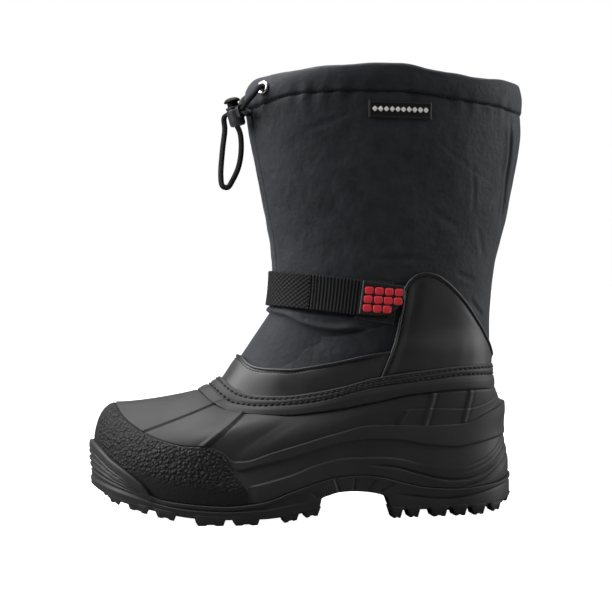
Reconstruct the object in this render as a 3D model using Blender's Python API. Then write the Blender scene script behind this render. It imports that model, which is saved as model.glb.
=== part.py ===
"""Left duck boot: an insulated pull-on snow boot as separate closed solids.

The toe points to -X, the outer (lateral) side to -Y and +Z is up. The origin lies on the floor in the
middle of the boot's box. All tables are in millimetres, and make_mesh turns them into metres.

Every piece is cut from one surface, last(angle, level). The angle runs round the boot: 0 at the toe,
90 degrees at the lateral side, 180 at the heel, 270 at the medial side. The level climbs from 0 at the
feather line, where the rubber shell meets the sole, over 1 (cap line), 2 (band), 3 (strip) and 4 (top of
the shell) to 5 at the collar. A piece is the space between two lifts above that surface.
"""
import math

import bmesh
import bpy
import numpy as np
from mathutils import Vector

MM = 0.001
GAP = 0.3

# Wall thicknesses, as lifts above the last surface
LINING_LIFT = -2.5
LEATHER_LIFTS = (GAP, 1.5)
SHELL_INNER = 2.1
SHELL_OUTER = 4.3
SIDE_STEP = 1.3
CAP_STEP = 1.0
BAND_STEP = 1.2
STRIP_STEP = 0.4
PANEL_STEPS = (1.3, 0.65)
SPUR_STEP = 2.6
CASING_STEP = 1.3
PIPING_STEP = 0.9
SOLE_OVERHANG = 7.0
CORE_LIFT = SHELL_INNER - 2 * GAP
BUMPER_REACH = 3.0

TOP_OF_SHELL = 4.0
COLLAR = 5.0
TUCK_LEVEL = 3.2

# Where each line of the shell ends in front and behind
FEATHER_ENDS = (-149.8, 142.5)
CAP_ENDS = (-140.5, 137.7)
BAND_ENDS = (-80.0, 133.2)
STRIP_ENDS = (-72.0, 133.0)
TOP_ENDS = (-65.3, 133.0)
COLLAR_ENDS = (-40.0, 157.0)

# Feather line in plan: x along the foot, half width before the ends are rounded, middle line
FEATHER_PLAN = [
    (-150, 55, 7.5), (-135, 60, 6.0), (-115, 58.5, 3.5), (-90, 57, 1.2), (-60, 54.8, -0.5),
    (-30, 49.8, -2.5), (0, 43.2, -3.7), (30, 39, -4.2), (60, 38.4, -3.2), (90, 42.5, -1.7),
    (115, 49.5, -0.7), (142, 56, 0)]
CAP_PLAN = [
    (-141, 50, 7.0), (-120, 54, 4.5), (-95, 54.5, 1.5), (-60, 52, -0.5), (-30, 48, -2.0), (0, 44.5, -3.0),
    (30, 42, -3.4), (60, 41.5, -2.6), (90, 43.5, -1.5), (115, 47, -0.6), (138, 50, 0)]
ANKLE_PLAN = [(-80, 43.5, 2.0), (-20, 43.5, 0.0), (30, 43, -1.0), (133, 43.5, 0)]

# How square the lines are in plan, in front and behind
FOOT_POWERS = (2.4, 2.4)
ANKLE_POWERS = (2.2, 3.0)

# Heights of the lines round the boot, seen from the side: x, z
FEATHER_HEIGHT = [
    (-150, 27), (-140, 24.5), (-120, 21.5), (-110, 17.5), (-92, 14.8), (-68, 13.2), (-44, 15.4), (-24, 22),
    (-8, 26.8), (12, 30.8), (28, 31.2), (43, 29.2), (56, 25.6), (76, 21), (99, 19.4), (118, 20.7),
    (134, 23.8), (143, 27.5)]
CAP_HEIGHT = [
    (-140.5, 75.8), (-137.5, 70), (-131, 64), (-121, 58.5), (-108, 54.5), (-94, 52.5), (-82, 53),
    (-72, 49.7), (-62, 42.6), (-55, 43), (-38, 48.3), (-17, 54.2), (7, 60.7), (35, 66.2), (55, 65.9),
    (77, 64.8), (99, 65), (107, 66), (119, 71), (130, 75.5), (138, 79)]
BAND_HEIGHT = [
    (-80, 84.6), (-73, 78.5), (-62, 73.5), (-46, 72.4), (-27, 72.7), (2, 76.3), (33, 82.5), (66, 87.9),
    (103, 90.4), (133, 89.9)]
STRIP_HEIGHT = [
    (-72, 89.7), (-65, 83.5), (-58, 79.3), (-45, 78.4), (-27, 79.7), (-7, 82.5), (34, 92.8), (68, 97),
    (104, 100), (133, 99.5)]
TOP_HEIGHT = [
    (-65.3, 95), (-60, 89.6), (-52, 85.8), (-42, 84.2), (-26, 84.6), (-6, 87.5), (13, 91.4), (38, 97.9),
    (71, 102.4), (105, 105.5), (133, 106)]
COLLAR_HEIGHT = [
    (-40, 314.5), (-30, 315.4), (-5, 318.3), (20, 320.4), (45, 321.6), (55, 321.4), (82, 317.6), (116, 314),
    (157, 313.3)]
SEAM_HEIGHT = [(-48, 291), (-38, 294.5), (-29, 297.5), (-15, 300.3), (0, 301.2), (20, 302.3), (56, 302.3),
               (75, 301), (95, 298.5), (115, 296), (130, 294.8), (146, 292.2), (159, 291.2)]
LEATHER_TOP_HEIGHT = [(-49, 112), (-46.5, 108.2), (-41, 105.4), (-34, 104.6), (-20, 104.8), (-5, 107.3),
                      (14, 111.2), (34, 115.7), (50, 118)]
# Steps on the side of the rubber shell: the lower edge of the upper rib, the top of the lower rib
RIB_LOW_HEIGHT = [(-62, 36), (-57, 37.2), (-17, 46.7), (7, 53.6), (34, 56.8), (54, 55.7), (77, 51.5),
                  (100, 49), (112, 50.5), (138, 55.5)]
LOW_STEP_HEIGHT = [(-62, 24), (-50, 26.3), (-24, 33), (-4, 40.3), (17, 44.1), (39, 44), (55, 42.4),
                   (75, 37), (95, 33.5), (112, 33), (138, 37)]
# Front and back outline of the shaft: z, x
SHAFT_FRONT = [
    (95, -65.3), (104, -57.5), (113, -49.5), (121, -42.2), (129.5, -37), (139, -33.3), (146, -30.8),
    (176, -27.7), (194, -29.4), (213, -32.8), (231, -35.8), (258, -41), (279, -45), (295, -47), (305, -46),
    (311, -43.5), (316, -39)]
SHAFT_BACK = [
    (98, 133), (113, 133.5), (126, 133.2), (139, 132.9), (160, 134.7), (177, 137.8), (198, 142.7),
    (222, 149), (252, 155), (282, 158), (300, 158), (313, 156)]
# Half width of the shaft by its share of the height, and how square its plan is in front and behind
SHAFT_PLAN = [(0.0, 43, 2.25, 2.9), (0.15, 42, 2.2, 2.7), (0.3, 41.5, 2.15, 2.4), (0.5, 43, 2.1, 2.2),
              (0.75, 45, 2.1, 2.15), (1.0, 46.5, 2.1, 2.15)]

# How the wall bulges between two lines, by the angle in degrees: handles outward and upward in mm
WALL_HANDLES = [
    (0, 3.2, 17, 12.5, 3), (30, 2.5, 13, 8, 6), (60, 1.5, 12, 2, 11), (90, 1.0, 10, 0.5, 10),
    (130, 0.8, 15, 0.8, 15), (180, 1.5, 16, 1.0, 16)]
VAMP_HANDLES = [
    (0, -18.5, -0.6, 18, 5.1), (30, -7, 8, 15, 2.5), (60, 0, 9, 4.5, 6), (90, 0.5, 7, 1, 7),
    (130, 0.2, 8, 0.5, 8), (180, -1.5, 2, 0.5, 4)]

# The outsole: bottom between the lugs, lower edge of its side, and the lugs' bottoms, by x
SOLE_BASE_HEIGHT = [
    (-157, 25), (-150, 21), (-142, 17.5), (-132, 14.5), (-116, 11), (-92, 7.5), (-68, 6.5), (-45, 6.2),
    (-25, 7), (0, 8.5), (25, 8.5), (50, 7), (125, 7), (140, 9), (151, 14)]
SOLE_EDGE_HEIGHT = [
    (-157, 27.5), (-150, 25), (-132, 19), (-114, 13.5), (-92, 9.8), (-68, 8.6), (-44, 9.2), (-24, 12),
    (-3, 15.2), (25, 19), (50, 16), (61, 15.6), (82, 13), (100, 12), (118, 13), (135, 15), (151, 20)]
LUG_HEIGHT = [
    (-157, 22.9), (-145, 13.5), (-136, 11), (-122, 7.2), (-105, 3.5), (-90, 0), (-47, 0), (-28, 2),
    (-17, 4.5), (-2, 6.5), (50, 0), (112, 0), (125, 1.2), (137, 3.5), (151, 8.5)]
BED_HEIGHT = [
    (-150, 34), (-120, 27), (-90, 21.5), (-60, 20), (-30, 26), (0, 33), (40, 37), (80, 34), (142, 34)]
# Upper edge of the toe bumper by the angle in degrees
BUMPER_TOP = [(0, 56.5), (15, 54.5), (24, 49), (30, 43.5), (36, 37)]
BUMPER_END = 37.5
# The arch that the waist of the sole spans: x, z
ARCH = [
    (-4, -5), (-2.5, 15.4), (4, 18.2), (12, 20), (20, 20.3), (30, 19.6), (40, 17.8), (47, 14.6), (50, 5),
    (50.6, -5)]
# Lugs along the edge: x from, x to
EDGE_LUGS = [
    (-142, -134), (-130, -120), (-116, -103), (-88.5, -71.5), (-65, -49), (-31.5, -18.5), (-15, -6),
    (51.5, 57.5), (62.5, 69.5), (79, 89.5), (96.5, 106), (112.5, 121.5), (127.5, 136)]
EDGE_LUG_INSET = 1.2
EDGE_LUG_DEPTH = 17
# How much a lug narrows at the floor and widens at the sole, and how far it reaches into the sole
LUG_TAPER = 1.3
LUG_FLARE = 0.4
LUG_ROOT = 2.2
SQUARE = [(-1, -1), (1, -1), (1, 1), (-1, 1)]
# Lugs inside: x in the middle, y in the middle, length along x, width
INNER_LUGS = [
    (-138, 6, 9, 22), (-122, 5, 9, 30), (-104, -13, 12, 20), (-96, 15, 12, 20), (-80, -15, 14, 22),
    (-72, 15, 14, 22), (-56, -16, 14, 22), (-48, 13, 14, 22), (-30, -12, 12, 20), (-22, 11, 12, 18),
    (-9, -2, 8, 26), (57, -3, 9, 34), (74, -11, 10, 18), (84, 9, 10, 18), (98, -10, 10, 18),
    (107, 8, 10, 16), (121, 0, 9, 24), (-148, -3.5, 8, 15), (-148, 18.5, 8, 15), (142, -11, 9, 16),
    (142, 11, 9, 16)]

# Strap over the instep: angle in degrees, height of its middle
STRAP_MIDDLE = [(0, 162.7), (20, 162.2), (45, 160), (74, 156), (100, 153.5)]
STRAP_WIDTH = 25.4
STRAP_THICKNESS = 1.8
STRAP_LOOSE = 1.4
STRAP_END_X = 50

QUARTER_FRONT = 94.6
# Upper edge of the leather quarter: angle in degrees, z
QUARTER_TOP = [
    (94.6, 157), (95.5, 164), (97.5, 169), (100.5, 172.4), (104.5, 173.9), (110, 172.7), (116, 168.8),
    (124.5, 161), (134.5, 150.5), (145, 138.5), (156, 126), (168, 115.5), (180, 112.5)]

# Patches on the lateral side, as outlines from the side: left x low, left x high, right x low, right x high,
# then z at the lower left, lower right, upper left and upper right corner
PATCHES = {
    "loop_pad": (24.5, 26.5, 52.5, 55.5, 141.6, 137.2, 164, 160.5),
    "woven_label": (31, 31, 78, 78, 283, 282.4, 295.2, 294.6)}
BADGE_LEFT = (24.8, 28.1)
BADGE_RIGHT_TOP = 57.4
# Lower and upper edge of the badge, by its share from left to right
BADGE_EDGES = [(0.0, 144.4, 168.4), (0.4, 143.4, 166.9), (0.6, 144.2, 166.1), (0.75, 146.5, 165.5),
               (0.88, 150.5, 165.0), (1.0, 156.5, 164.4)]

EYELET_X = -37.0
EYELET_Z = 305.0
EYELET_OUTER = 5.0
EYELET_HOLE = 2.5
EYELET_THICKNESS = 1.2
EYELET_SEGMENTS = 20
LOCK_SEGMENTS = 18

CORD_DIAMETER = 2.8
CORD_SPACING = 3.5
LOCK_BOTTOM = Vector((-54.0, -8.0, 279.4))
LOCK_TOP_DIRECTION = Vector((-0.252, 0.0, 0.968))
LOCK_ENTRY = Vector((0.5, -0.85, 0.0))
BARREL_RADIUS = 5.8
BARREL_LENGTH = 14.0
BARREL_FLOOR = 1.5
BORE_RADIUS = 4.3
PLUNGER_RADIUS = 4.0
PLUNGER_TRAVEL = 3.0
CAP_RADIUS = 6.0
CAP_DOME = 3.4
SLOT_WIDTH = 3.5
BOSS_START = 2.0
BOSS_LENGTH = 6.4
BOSS_WALL = 1.3
EIGHT_SIDES = [(-1, -0.7), (-0.7, -1), (0.7, -1), (1, -0.7), (1, 0.7), (0.7, 1), (-0.7, 1), (-1, 0.7)]
LOWER_CORD = 7.7
UPPER_CORD = 10.9

# The drawcord's own points: from the lateral eyelet to the lock, round the loop, and on to the medial eyelet
LATERAL_POINTS = [(-45, -25.5, 300.5), (-50, -21.5, 294.5)]
LOOP_POINTS = [
    (-62.9, 2.8, 286.2), (-62.3, 4, 278), (-64.2, 2, 263), (-65.8, -1, 243), (-64.6, -1.8, 236.5),
    (-61, -1.8, 235.6), (-57.2, -1.4, 241), (-52.7, 0, 251), (-50.6, 1.6, 264), (-51.4, 3.2, 276),
    (-54.6, 3.9, 282.4)]
MEDIAL_POINTS = [
    (-48.4, -18.2, 287), (-46.2, -13.6, 288.8), (-50.2, -3.5, 292.2), (-50.6, 5, 295.4), (-48.2, 14.5, 299.5),
    (-44.5, 23.8, 303.5)]

COLUMNS = 48
MATERIALS = {
    "rubber_shell": ((0.018, 0.018, 0.019), 0.55, 0.0),
    "rubber_sole": ((0.014, 0.014, 0.015), 0.62, 0.0),
    "nylon": ((0.012, 0.012, 0.015), 0.85, 0.0),
    "leather": ((0.016, 0.016, 0.017), 0.42, 0.0),
    "webbing": ((0.012, 0.012, 0.013), 0.8, 0.0),
    "badge_rubber": ((0.5, 0.01, 0.012), 0.45, 0.0),
    "label_satin": ((0.01, 0.01, 0.01), 0.5, 0.0),
    "eyelet_metal": ((0.7, 0.66, 0.66), 0.3, 1.0),
    "cord": ((0.02, 0.02, 0.022), 0.7, 0.0),
    "lock_plastic": ((0.04, 0.04, 0.042), 0.35, 0.0),
    "insole_felt": ((0.06, 0.06, 0.062), 0.95, 0.0)}


# ---------------------------------------------------------------- curves through the tables

def smooth(table, x, column=1):
    """The table's column at x: a cubic through its rows that never overshoots them, level past the ends."""
    rows = np.asarray(table, float)
    xs, ys = rows[:, 0], rows[:, column]
    step = np.diff(xs)
    slope = np.diff(ys) / step
    left, right = slope[:-1], slope[1:]
    same_way = left * right > 0
    left_weight, right_weight = step[1:] + 2 * step[:-1], 2 * step[1:] + step[:-1]
    blend = left_weight * left + right_weight * right
    mean = (left_weight + right_weight) * left * right / np.where(same_way, blend, 1.0)
    tangent = np.concatenate([slope[:1], np.where(same_way, mean, 0.0), slope[-1:]])
    x = np.clip(np.asarray(x, float), xs[0], xs[-1])
    i = np.clip(np.searchsorted(xs, x, side="right") - 1, 0, len(xs) - 2)
    t = (x - xs[i]) / step[i]
    return ((2 * t**3 - 3 * t**2 + 1) * ys[i] + (t**3 - 2 * t**2 + t) * step[i] * tangent[i]
            + (3 * t**2 - 2 * t**3) * ys[i + 1] + (t**3 - t**2) * step[i] * tangent[i + 1])


def ease(low, high, x):
    """0 up to low, 1 from high on, and a smooth rise between them."""
    t = np.clip((np.asarray(x, float) - low) / (high - low), 0, 1)
    return t * t * (3 - 2 * t)


def folded(angle):
    """The angle from the toe in degrees, the same on the lateral and the medial side."""
    return np.abs((np.degrees(angle) + 180) % 360 - 180)


# ---------------------------------------------------------------- the last surface

def between_ends(ends, share):
    """The value at a share of the way from the first end to the second."""
    return ends[0] + (ends[1] - ends[0]) * share


def oval(angle, ends, half, middle, power):
    """x and y of a ring: |u| to the power plus |y/half| to the power is 1, with u from -1 to 1 along x."""
    u = -np.cos(angle)
    x = between_ends(ends, (1 + u) / 2)
    reach = np.maximum(1 - np.abs(u) ** power, 0) ** (1 / power)
    return x, middle(x) - np.sign(np.sin(angle)) * half(x) * reach


def line_ring(angle, ends, plan, height, powers):
    """One of the shell's lines as points round the boot."""
    power = between_ends(powers, (1 - np.cos(angle)) / 2)
    x, y = oval(angle, ends, lambda v: smooth(plan, v, 1), lambda v: smooth(plan, v, 2), power)
    return np.stack([x, y, smooth(height, x)], axis=-1)


def shaft_ring(angle, rise):
    """A ring of the shaft, at a share of the way from the top of the shell to the collar."""
    front_z = between_ends((TOP_HEIGHT[0][1], SHAFT_FRONT[-1][0]), rise)
    back_z = between_ends((TOP_HEIGHT[-1][1], SHAFT_BACK[-1][0]), rise)
    front, back = smooth(SHAFT_FRONT, front_z), smooth(SHAFT_BACK, back_z)
    u = -np.cos(angle)
    power = smooth(SHAFT_PLAN, rise, 2) * (1 - u) / 2 + smooth(SHAFT_PLAN, rise, 3) * (1 + u) / 2
    fade = 1 - ease(0, 0.35, rise)
    x, y = oval(angle, (front, back), lambda v: smooth(SHAFT_PLAN, rise, 1) + 0 * v,
                lambda v: smooth(ANKLE_PLAN, v, 2) * fade, power)
    low = smooth(TOP_HEIGHT, between_ends(TOP_ENDS, (1 + u) / 2))
    high = smooth(COLLAR_HEIGHT, between_ends(COLLAR_ENDS, (1 + u) / 2))
    return np.stack([x, y, low + (high - low) * rise], axis=-1)


def outward(angle):
    """The direction away from the boot in plan."""
    direction = np.stack([-0.45 * np.cos(angle), -np.sin(angle), 0 * angle], axis=-1)
    return direction / np.linalg.norm(direction, axis=-1, keepdims=True)


def bent(start, end, angle, handles, share):
    """A cubic from the lower ring to the upper one, with the handles of the table."""
    turn = folded(angle)
    out = outward(angle)
    up = np.array([0.0, 0.0, 1.0])
    first = start + smooth(handles, turn, 1)[..., None] * out + smooth(handles, turn, 2)[..., None] * up
    second = end + smooth(handles, turn, 3)[..., None] * out - smooth(handles, turn, 4)[..., None] * up
    t = share[..., None]
    return (1 - t)**3 * start + 3 * t * (1 - t)**2 * first + 3 * t**2 * (1 - t) * second + t**3 * end


def last(angle, level):
    """The point of the last surface at an angle in radians and a level."""
    angle, level = np.broadcast_arrays(np.asarray(angle, float), np.asarray(level, float))
    feather = line_ring(angle, FEATHER_ENDS, FEATHER_PLAN, FEATHER_HEIGHT, FOOT_POWERS)
    cap = line_ring(angle, CAP_ENDS, CAP_PLAN, CAP_HEIGHT, FOOT_POWERS)
    band = line_ring(angle, BAND_ENDS, ANKLE_PLAN, BAND_HEIGHT, ANKLE_POWERS)
    strip = line_ring(angle, STRIP_ENDS, ANKLE_PLAN, STRIP_HEIGHT, ANKLE_POWERS)
    top = shaft_ring(angle, np.zeros_like(angle))
    shaft = shaft_ring(angle, np.clip(level - TOP_OF_SHELL, 0, 1))
    share = np.clip(level - np.floor(level), 0, 1)
    wall = bent(feather, cap, angle, WALL_HANDLES, np.clip(level, 0, 1))
    vamp = bent(cap, band, angle, VAMP_HANDLES, np.clip(level - 1, 0, 1))
    level, share = level[..., None], share[..., None]
    return np.select([level < 1, level < 2, level < 3, level < 4],
                     [wall, vamp, band + (strip - band) * share, strip + (top - strip) * share], shaft)


def lifted(angle, level, lift):
    """A point above the last surface, along the surface's own normal."""
    angle, level, lift = np.broadcast_arrays(*(np.asarray(v, float) for v in (angle, level, lift)))
    round_step, rise_step = 0.02, 0.03
    along = last(angle + round_step, level) - last(angle - round_step, level)
    upper, lower = np.minimum(level + rise_step, COLLAR), np.maximum(level - rise_step, 0)
    normal = np.cross(last(angle, upper) - last(angle, lower), along)
    normal /= np.linalg.norm(normal, axis=-1, keepdims=True)
    return last(angle, level) - lift[..., None] * normal


def level_at(angle, height, lowest, highest):
    """The level between two others at which the surface crosses a line; height gives z from x."""
    low, high = np.full_like(angle, lowest), np.full_like(angle, highest)
    for _ in range(24):
        middle = (low + high) / 2
        point = last(angle, middle)
        below = point[..., 2] < height(point[..., 0])
        low, high = np.where(below, middle, low), np.where(below, high, middle)
    return (low + high) / 2


def place(x, z, side=-1):
    """Angle and level of the point that lies at x and z when the boot is seen from one side."""
    x, z = np.asarray(x, float), np.asarray(z, float)
    angle = np.full_like(x, math.pi / 2)
    level = np.full_like(x, 4.5)
    for _ in range(12):
        level = level_at(angle, lambda _: z, 0, COLLAR)
        front, back = last(0 * angle, level)[..., 0], last(0 * angle + math.pi, level)[..., 0]
        angle = np.arccos(np.clip(((front + back) / 2 - x) / ((back - front) / 2), -1, 1))
    return (angle if side < 0 else 2 * math.pi - angle), level


# ---------------------------------------------------------------- meshes

def make_mesh(name, points, faces, material):
    """One object from points in millimetres."""
    mesh = bpy.data.meshes.new(name)
    mesh.from_pydata([tuple(float(c) * MM for c in p) for p in points], [], faces)
    mesh.validate()
    body = bmesh.new()
    body.from_mesh(mesh)
    bmesh.ops.triangulate(body, faces=body.faces)
    bmesh.ops.recalc_face_normals(body, faces=body.faces)
    if body.calc_volume(signed=True) < 0:
        bmesh.ops.reverse_faces(body, faces=body.faces)
    body.to_mesh(mesh)
    body.free()
    part = bpy.data.objects.new(name, mesh)
    bpy.context.collection.objects.link(part)
    mesh.shade_smooth()
    mesh.set_sharp_from_angle(angle=math.radians(35))
    dress(part, material)
    return part


def dress(part, name):
    """Give the object its own material."""
    colour, roughness, metallic = MATERIALS[name]
    material = bpy.data.materials.new(part.name)
    material.use_nodes = True
    shader = material.node_tree.nodes["Principled BSDF"]
    shader.inputs["Base Color"].default_value = (*colour, 1)
    shader.inputs["Roughness"].default_value = roughness
    shader.inputs["Metallic"].default_value = metallic
    part.data.materials.clear()
    part.data.materials.append(material)


def tube_faces(rows, columns, closed_rows):
    """Quads of a grid whose columns close on themselves, and whose rows may too."""
    faces = []
    for i in range(rows if closed_rows else rows - 1):
        upper = (i + 1) % rows
        for j in range(columns):
            right = (j + 1) % columns
            low, high = i * columns, upper * columns
            faces.append((low + j, low + right, high + right, high + j))
    return faces


def ring_solid(name, rings, material):
    """A closed wall: the rings run up its outer face and down its inner face."""
    points = np.concatenate(rings)
    return make_mesh(name, points, tube_faces(len(rings), len(rings[0]), True), material)


def patch_solid(name, outer, inner, material):
    """A plate between two grids of points, closed along its four edges."""
    rows, columns = outer.shape[:2]
    points = np.concatenate([outer.reshape(-1, 3), inner.reshape(-1, 3)])
    half = rows * columns
    faces = []
    for i in range(rows - 1):
        for j in range(columns - 1):
            a = i * columns + j
            b, c, d = a + 1, a + columns + 1, a + columns
            faces += [(a, b, c, d), (a + half, d + half, c + half, b + half)]
    edge = list(range(columns))
    edge += [i * columns + columns - 1 for i in range(1, rows)]
    edge += [(rows - 1) * columns + j for j in range(columns - 2, -1, -1)]
    edge += [i * columns for i in range(rows - 2, 0, -1)]
    for a, b in zip(edge, edge[1:] + edge[:1]):
        faces.append((a, a + half, b + half, b))
    return make_mesh(name, points, faces, material)


def ladder_faces(offset, columns):
    """A cap over one ring, with rungs from each lateral point to its medial twin."""
    half = columns // 2
    faces = [(offset, offset + 1, offset + columns - 1)]
    faces.append((offset + half - 1, offset + half, offset + half + 1))
    for j in range(1, half - 1):
        faces.append((offset + j, offset + j + 1, offset + columns - j - 1, offset + columns - j))
    return faces


def around(extra=()):
    """Angles of the columns, alike on both sides, with extra ones in degrees where a step needs its edge."""
    even = [180 * k / (COLUMNS // 2) for k in range(COLUMNS // 2 + 1)]
    kept = [a for a in even if all(abs(a - e) > 1.6 for e in extra)]
    half = sorted(kept + list(extra))
    return np.radians(np.array(half + [360 - a for a in half[-2:0:-1]]))


def between(start, end, extra=()):
    """Angles in degrees from one end to the other, with the shaft's own columns and any extra ones."""
    step = 360 / COLUMNS
    inside = [k * step for k in range(-COLUMNS, COLUMNS) if start + 1 < k * step < end - 1]
    return np.array([start] + sorted(inside + list(extra)) + [end])


def boolean(part, tool, operation):
    """Join the tool to the part or cut it away, and drop the tool."""
    modifier = part.modifiers.new("join", "BOOLEAN")
    modifier.operation = operation
    modifier.solver = "EXACT"
    modifier.object = tool
    evaluated = part.evaluated_get(bpy.context.evaluated_depsgraph_get())
    mesh = bpy.data.meshes.new_from_object(evaluated)
    part.modifiers.clear()
    part.data = mesh
    bpy.data.objects.remove(tool)


def prism(name, outline, direction, depth, material="rubber_sole"):
    """A flat outline pushed along a direction."""
    outline = [Vector(p) for p in outline]
    far = [p + direction * depth for p in outline]
    count = len(outline)
    faces = [tuple(range(count)), tuple(range(2 * count - 1, count - 1, -1))]
    faces += [(i, (i + 1) % count, (i + 1) % count + count, i + count) for i in range(count)]
    return make_mesh(name, outline + far, faces, material)


# ---------------------------------------------------------------- rubber shell

def shell_angle(angle, level):
    """Columns lean forward over the vamp, so that two of them follow the ribs on it."""
    lean = np.radians(15) * np.sin(angle) * np.clip(level - 1, 0, 1)
    return angle - lean


def step_levels(angle):
    """Levels of the side's two steps below the cap line."""
    low = level_at(angle, lambda x: smooth(LOW_STEP_HEIGHT, x), 0, 1)
    rib = level_at(angle, lambda x: smooth(RIB_LOW_HEIGHT, x), 0, 1)
    return low, rib


def rubber_shell():
    """The moulded galosh: toe cap, vamp ribs, side steps, kick spur, band and stitch strip in one wall."""
    angle = around(extra=(28.6, 29.4, 53.4, 54.4))
    turn = folded(angle)
    on_side = ease(52, 58, turn)
    ribs_kept = on_side * (1 - 0.6 * ease(120, 150, turn))
    low, rib = step_levels(angle)
    low = np.where(turn < 54, 0.4, low)
    rib = np.where(turn < 54, 0.72, rib)
    raised = SHELL_OUTER + CAP_STEP + (SIDE_STEP - CAP_STEP) * on_side
    recess = raised - (SIDE_STEP + 0.1) * ribs_kept
    spur = raised + SPUR_STEP * ease(135, 172, turn)
    panel = np.where(turn < 29, PANEL_STEPS[0], np.where(turn < 54, PANEL_STEPS[1], 0.0))
    edge = 0.03
    full = 0 * low
    rows = [(full, raised), (low - edge, raised), (low + edge, recess), (rib - edge, recess),
            (rib + edge, raised), (1 - 1.5 * edge + full, spur), (1 + 0.5 * edge + full, SHELL_OUTER + panel)]
    rows += [(level + full, SHELL_OUTER + panel) for level in (1.2, 1.45, 1.7, 1.95)]
    rows += [(2 + full, SHELL_OUTER + BAND_STEP + 0.3 * (turn < 29)), (2.96 + full, SHELL_OUTER + BAND_STEP),
             (3.06 + full, SHELL_OUTER + STRIP_STEP), (4 + full, SHELL_OUTER + full)]
    rings = [lifted(shell_angle(angle, level), level, lift) for level, lift in rows]
    for level in (4.0, 2.0, 1.6, 1.25, 0.95, 0.6, 0.3, 0.0):
        rings.append(lifted(shell_angle(angle, level), level, SHELL_INNER))
    rings[0][:, 2] = rings[-1][:, 2] = last(angle, 0)[:, 2] + GAP / 2
    return ring_solid("rubber_shell", rings, "rubber_shell")


# ---------------------------------------------------------------- upper

def upper_rows(angle):
    """Levels and lifts up the outside of the shaft, with the cord casing as a step."""
    seam = level_at(angle, lambda x: smooth(SEAM_HEIGHT, x), 4.5, COLLAR)
    full = 0 * angle
    rises = (0.05, 0.1, 0.16, 0.23, 0.32, 0.43, 0.56, 0.7, 0.84)
    rows = [(TUCK_LEVEL + full, full), (3.6 + full, full), (TOP_OF_SHELL + full, full)]
    rows += [(TOP_OF_SHELL + rise + full, full) for rise in rises]
    rows += [(seam - 0.006, full), (seam + 0.004, full + CASING_STEP),
             ((seam + COLLAR) / 2, full + CASING_STEP + 0.4), (COLLAR - 0.012 + full, full + CASING_STEP - 0.2)]
    return rows


def upper():
    """The nylon shaft: one hollow wall, open at the collar and underneath."""
    angle = around()
    rings = [lifted(angle, level, lift) for level, lift in upper_rows(angle)]
    rings.append(lifted(angle, COLLAR, -0.6))
    for level in (4.985, 4.9, 4.7, 4.4, 4.2, 4.05, 3.6, TUCK_LEVEL):
        rings.append(lifted(angle, level, LINING_LIFT if level < 4.95 else LINING_LIFT + 0.5))
    return ring_solid("upper_shaft", rings, "nylon")


# ---------------------------------------------------------------- leather

def edged_panel(name, angles, top, shares, material):
    """A leather panel from inside the shell up to a level per column, with a piping bead along its top."""
    full = 0 * top
    rows = [(TUCK_LEVEL + 0.05 + full, 0.0), (3.6 + full, 0.0), (TOP_OF_SHELL + full, 0.0)]
    rows += [(TOP_OF_SHELL + share * (top - TOP_OF_SHELL), 0.0) for share in shares]
    rows += [(top - 0.011, 0.0), (top - 0.009, PIPING_STEP), (top, PIPING_STEP)]
    inner = np.stack([lifted(angles, level, LEATHER_LIFTS[0]) for level, _ in rows])
    outer = np.stack([lifted(angles, level, LEATHER_LIFTS[1] + bead) for level, bead in rows])
    return patch_solid(name, outer, inner, material)


def leather_vamp():
    """The leather band in front, between the shell and the nylon."""
    end = QUARTER_FRONT - 0.5
    angles = np.radians(between(-end, end))
    top = level_at(angles, lambda x: smooth(LEATHER_TOP_HEIGHT, x), TUCK_LEVEL, 4.4)
    return edged_panel("leather_vamp", angles, top, (0.5,), "leather")


def leather_quarter():
    """The leather quarter that wraps the heel, with an arch on each side."""
    angles = np.radians(between(QUARTER_FRONT, 360 - QUARTER_FRONT, extra=(95.6, 101, 259, 264.4)))
    top = level_at(angles, lambda x: smooth(QUARTER_TOP, folded(angles)), TOP_OF_SHELL, 4.6)
    return edged_panel("leather_quarter", angles, top, (0.18, 0.36, 0.54, 0.77), "leather")


# ---------------------------------------------------------------- strap, badge, pad and label

def strap():
    """The webbing strap from the lateral pad over the instep to the medial quarter."""
    start = float(np.degrees(place(np.array([STRAP_END_X]), np.array([154.0]))[0][0]))
    angles = np.radians(between(-(QUARTER_FRONT - 0.4), start))
    middle = smooth(STRAP_MIDDLE, folded(angles))
    half = STRAP_WIDTH / 2
    edges = [level_at(angles, lambda x: middle + side * half, TOP_OF_SHELL, 4.6) for side in (-1, 1)]
    levels = np.stack([edges[0], (edges[0] + edges[1]) / 2, edges[1]])
    inner = lifted(angles[None, :], levels, STRAP_LOOSE)
    outer = lifted(angles[None, :], levels, STRAP_LOOSE + STRAP_THICKNESS)
    return patch_solid("instep_strap", outer, inner, "webbing")


def side_patch(name, left, right, low, high, lifts, shape, material):
    """A plate on the lateral side: left and right give x by z's share, low and high give z by x's share."""
    rows, columns = shape
    up, along = np.meshgrid(np.linspace(0, 1, rows), np.linspace(0, 1, columns), indexing="ij")
    x = left(up) + (right(up) - left(up)) * along
    z = low(along) + (high(along) - low(along)) * up
    angle, level = place(x, z)
    return patch_solid(name, lifted(angle, level, lifts[1]), lifted(angle, level, lifts[0]), material)


def mix(a, b):
    """A straight run from a at 0 to b at 1."""
    return lambda t: a + (b - a) * t


def flat_patch(name, lifts, shape, material):
    """One of the plain four-cornered patches."""
    left_low, left_high, right_low, right_high, low_left, low_right, high_left, high_right = PATCHES[name]
    return side_patch(name, mix(left_low, left_high), mix(right_low, right_high), mix(low_left, low_right),
                      mix(high_left, high_right), lifts, shape, material)


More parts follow.
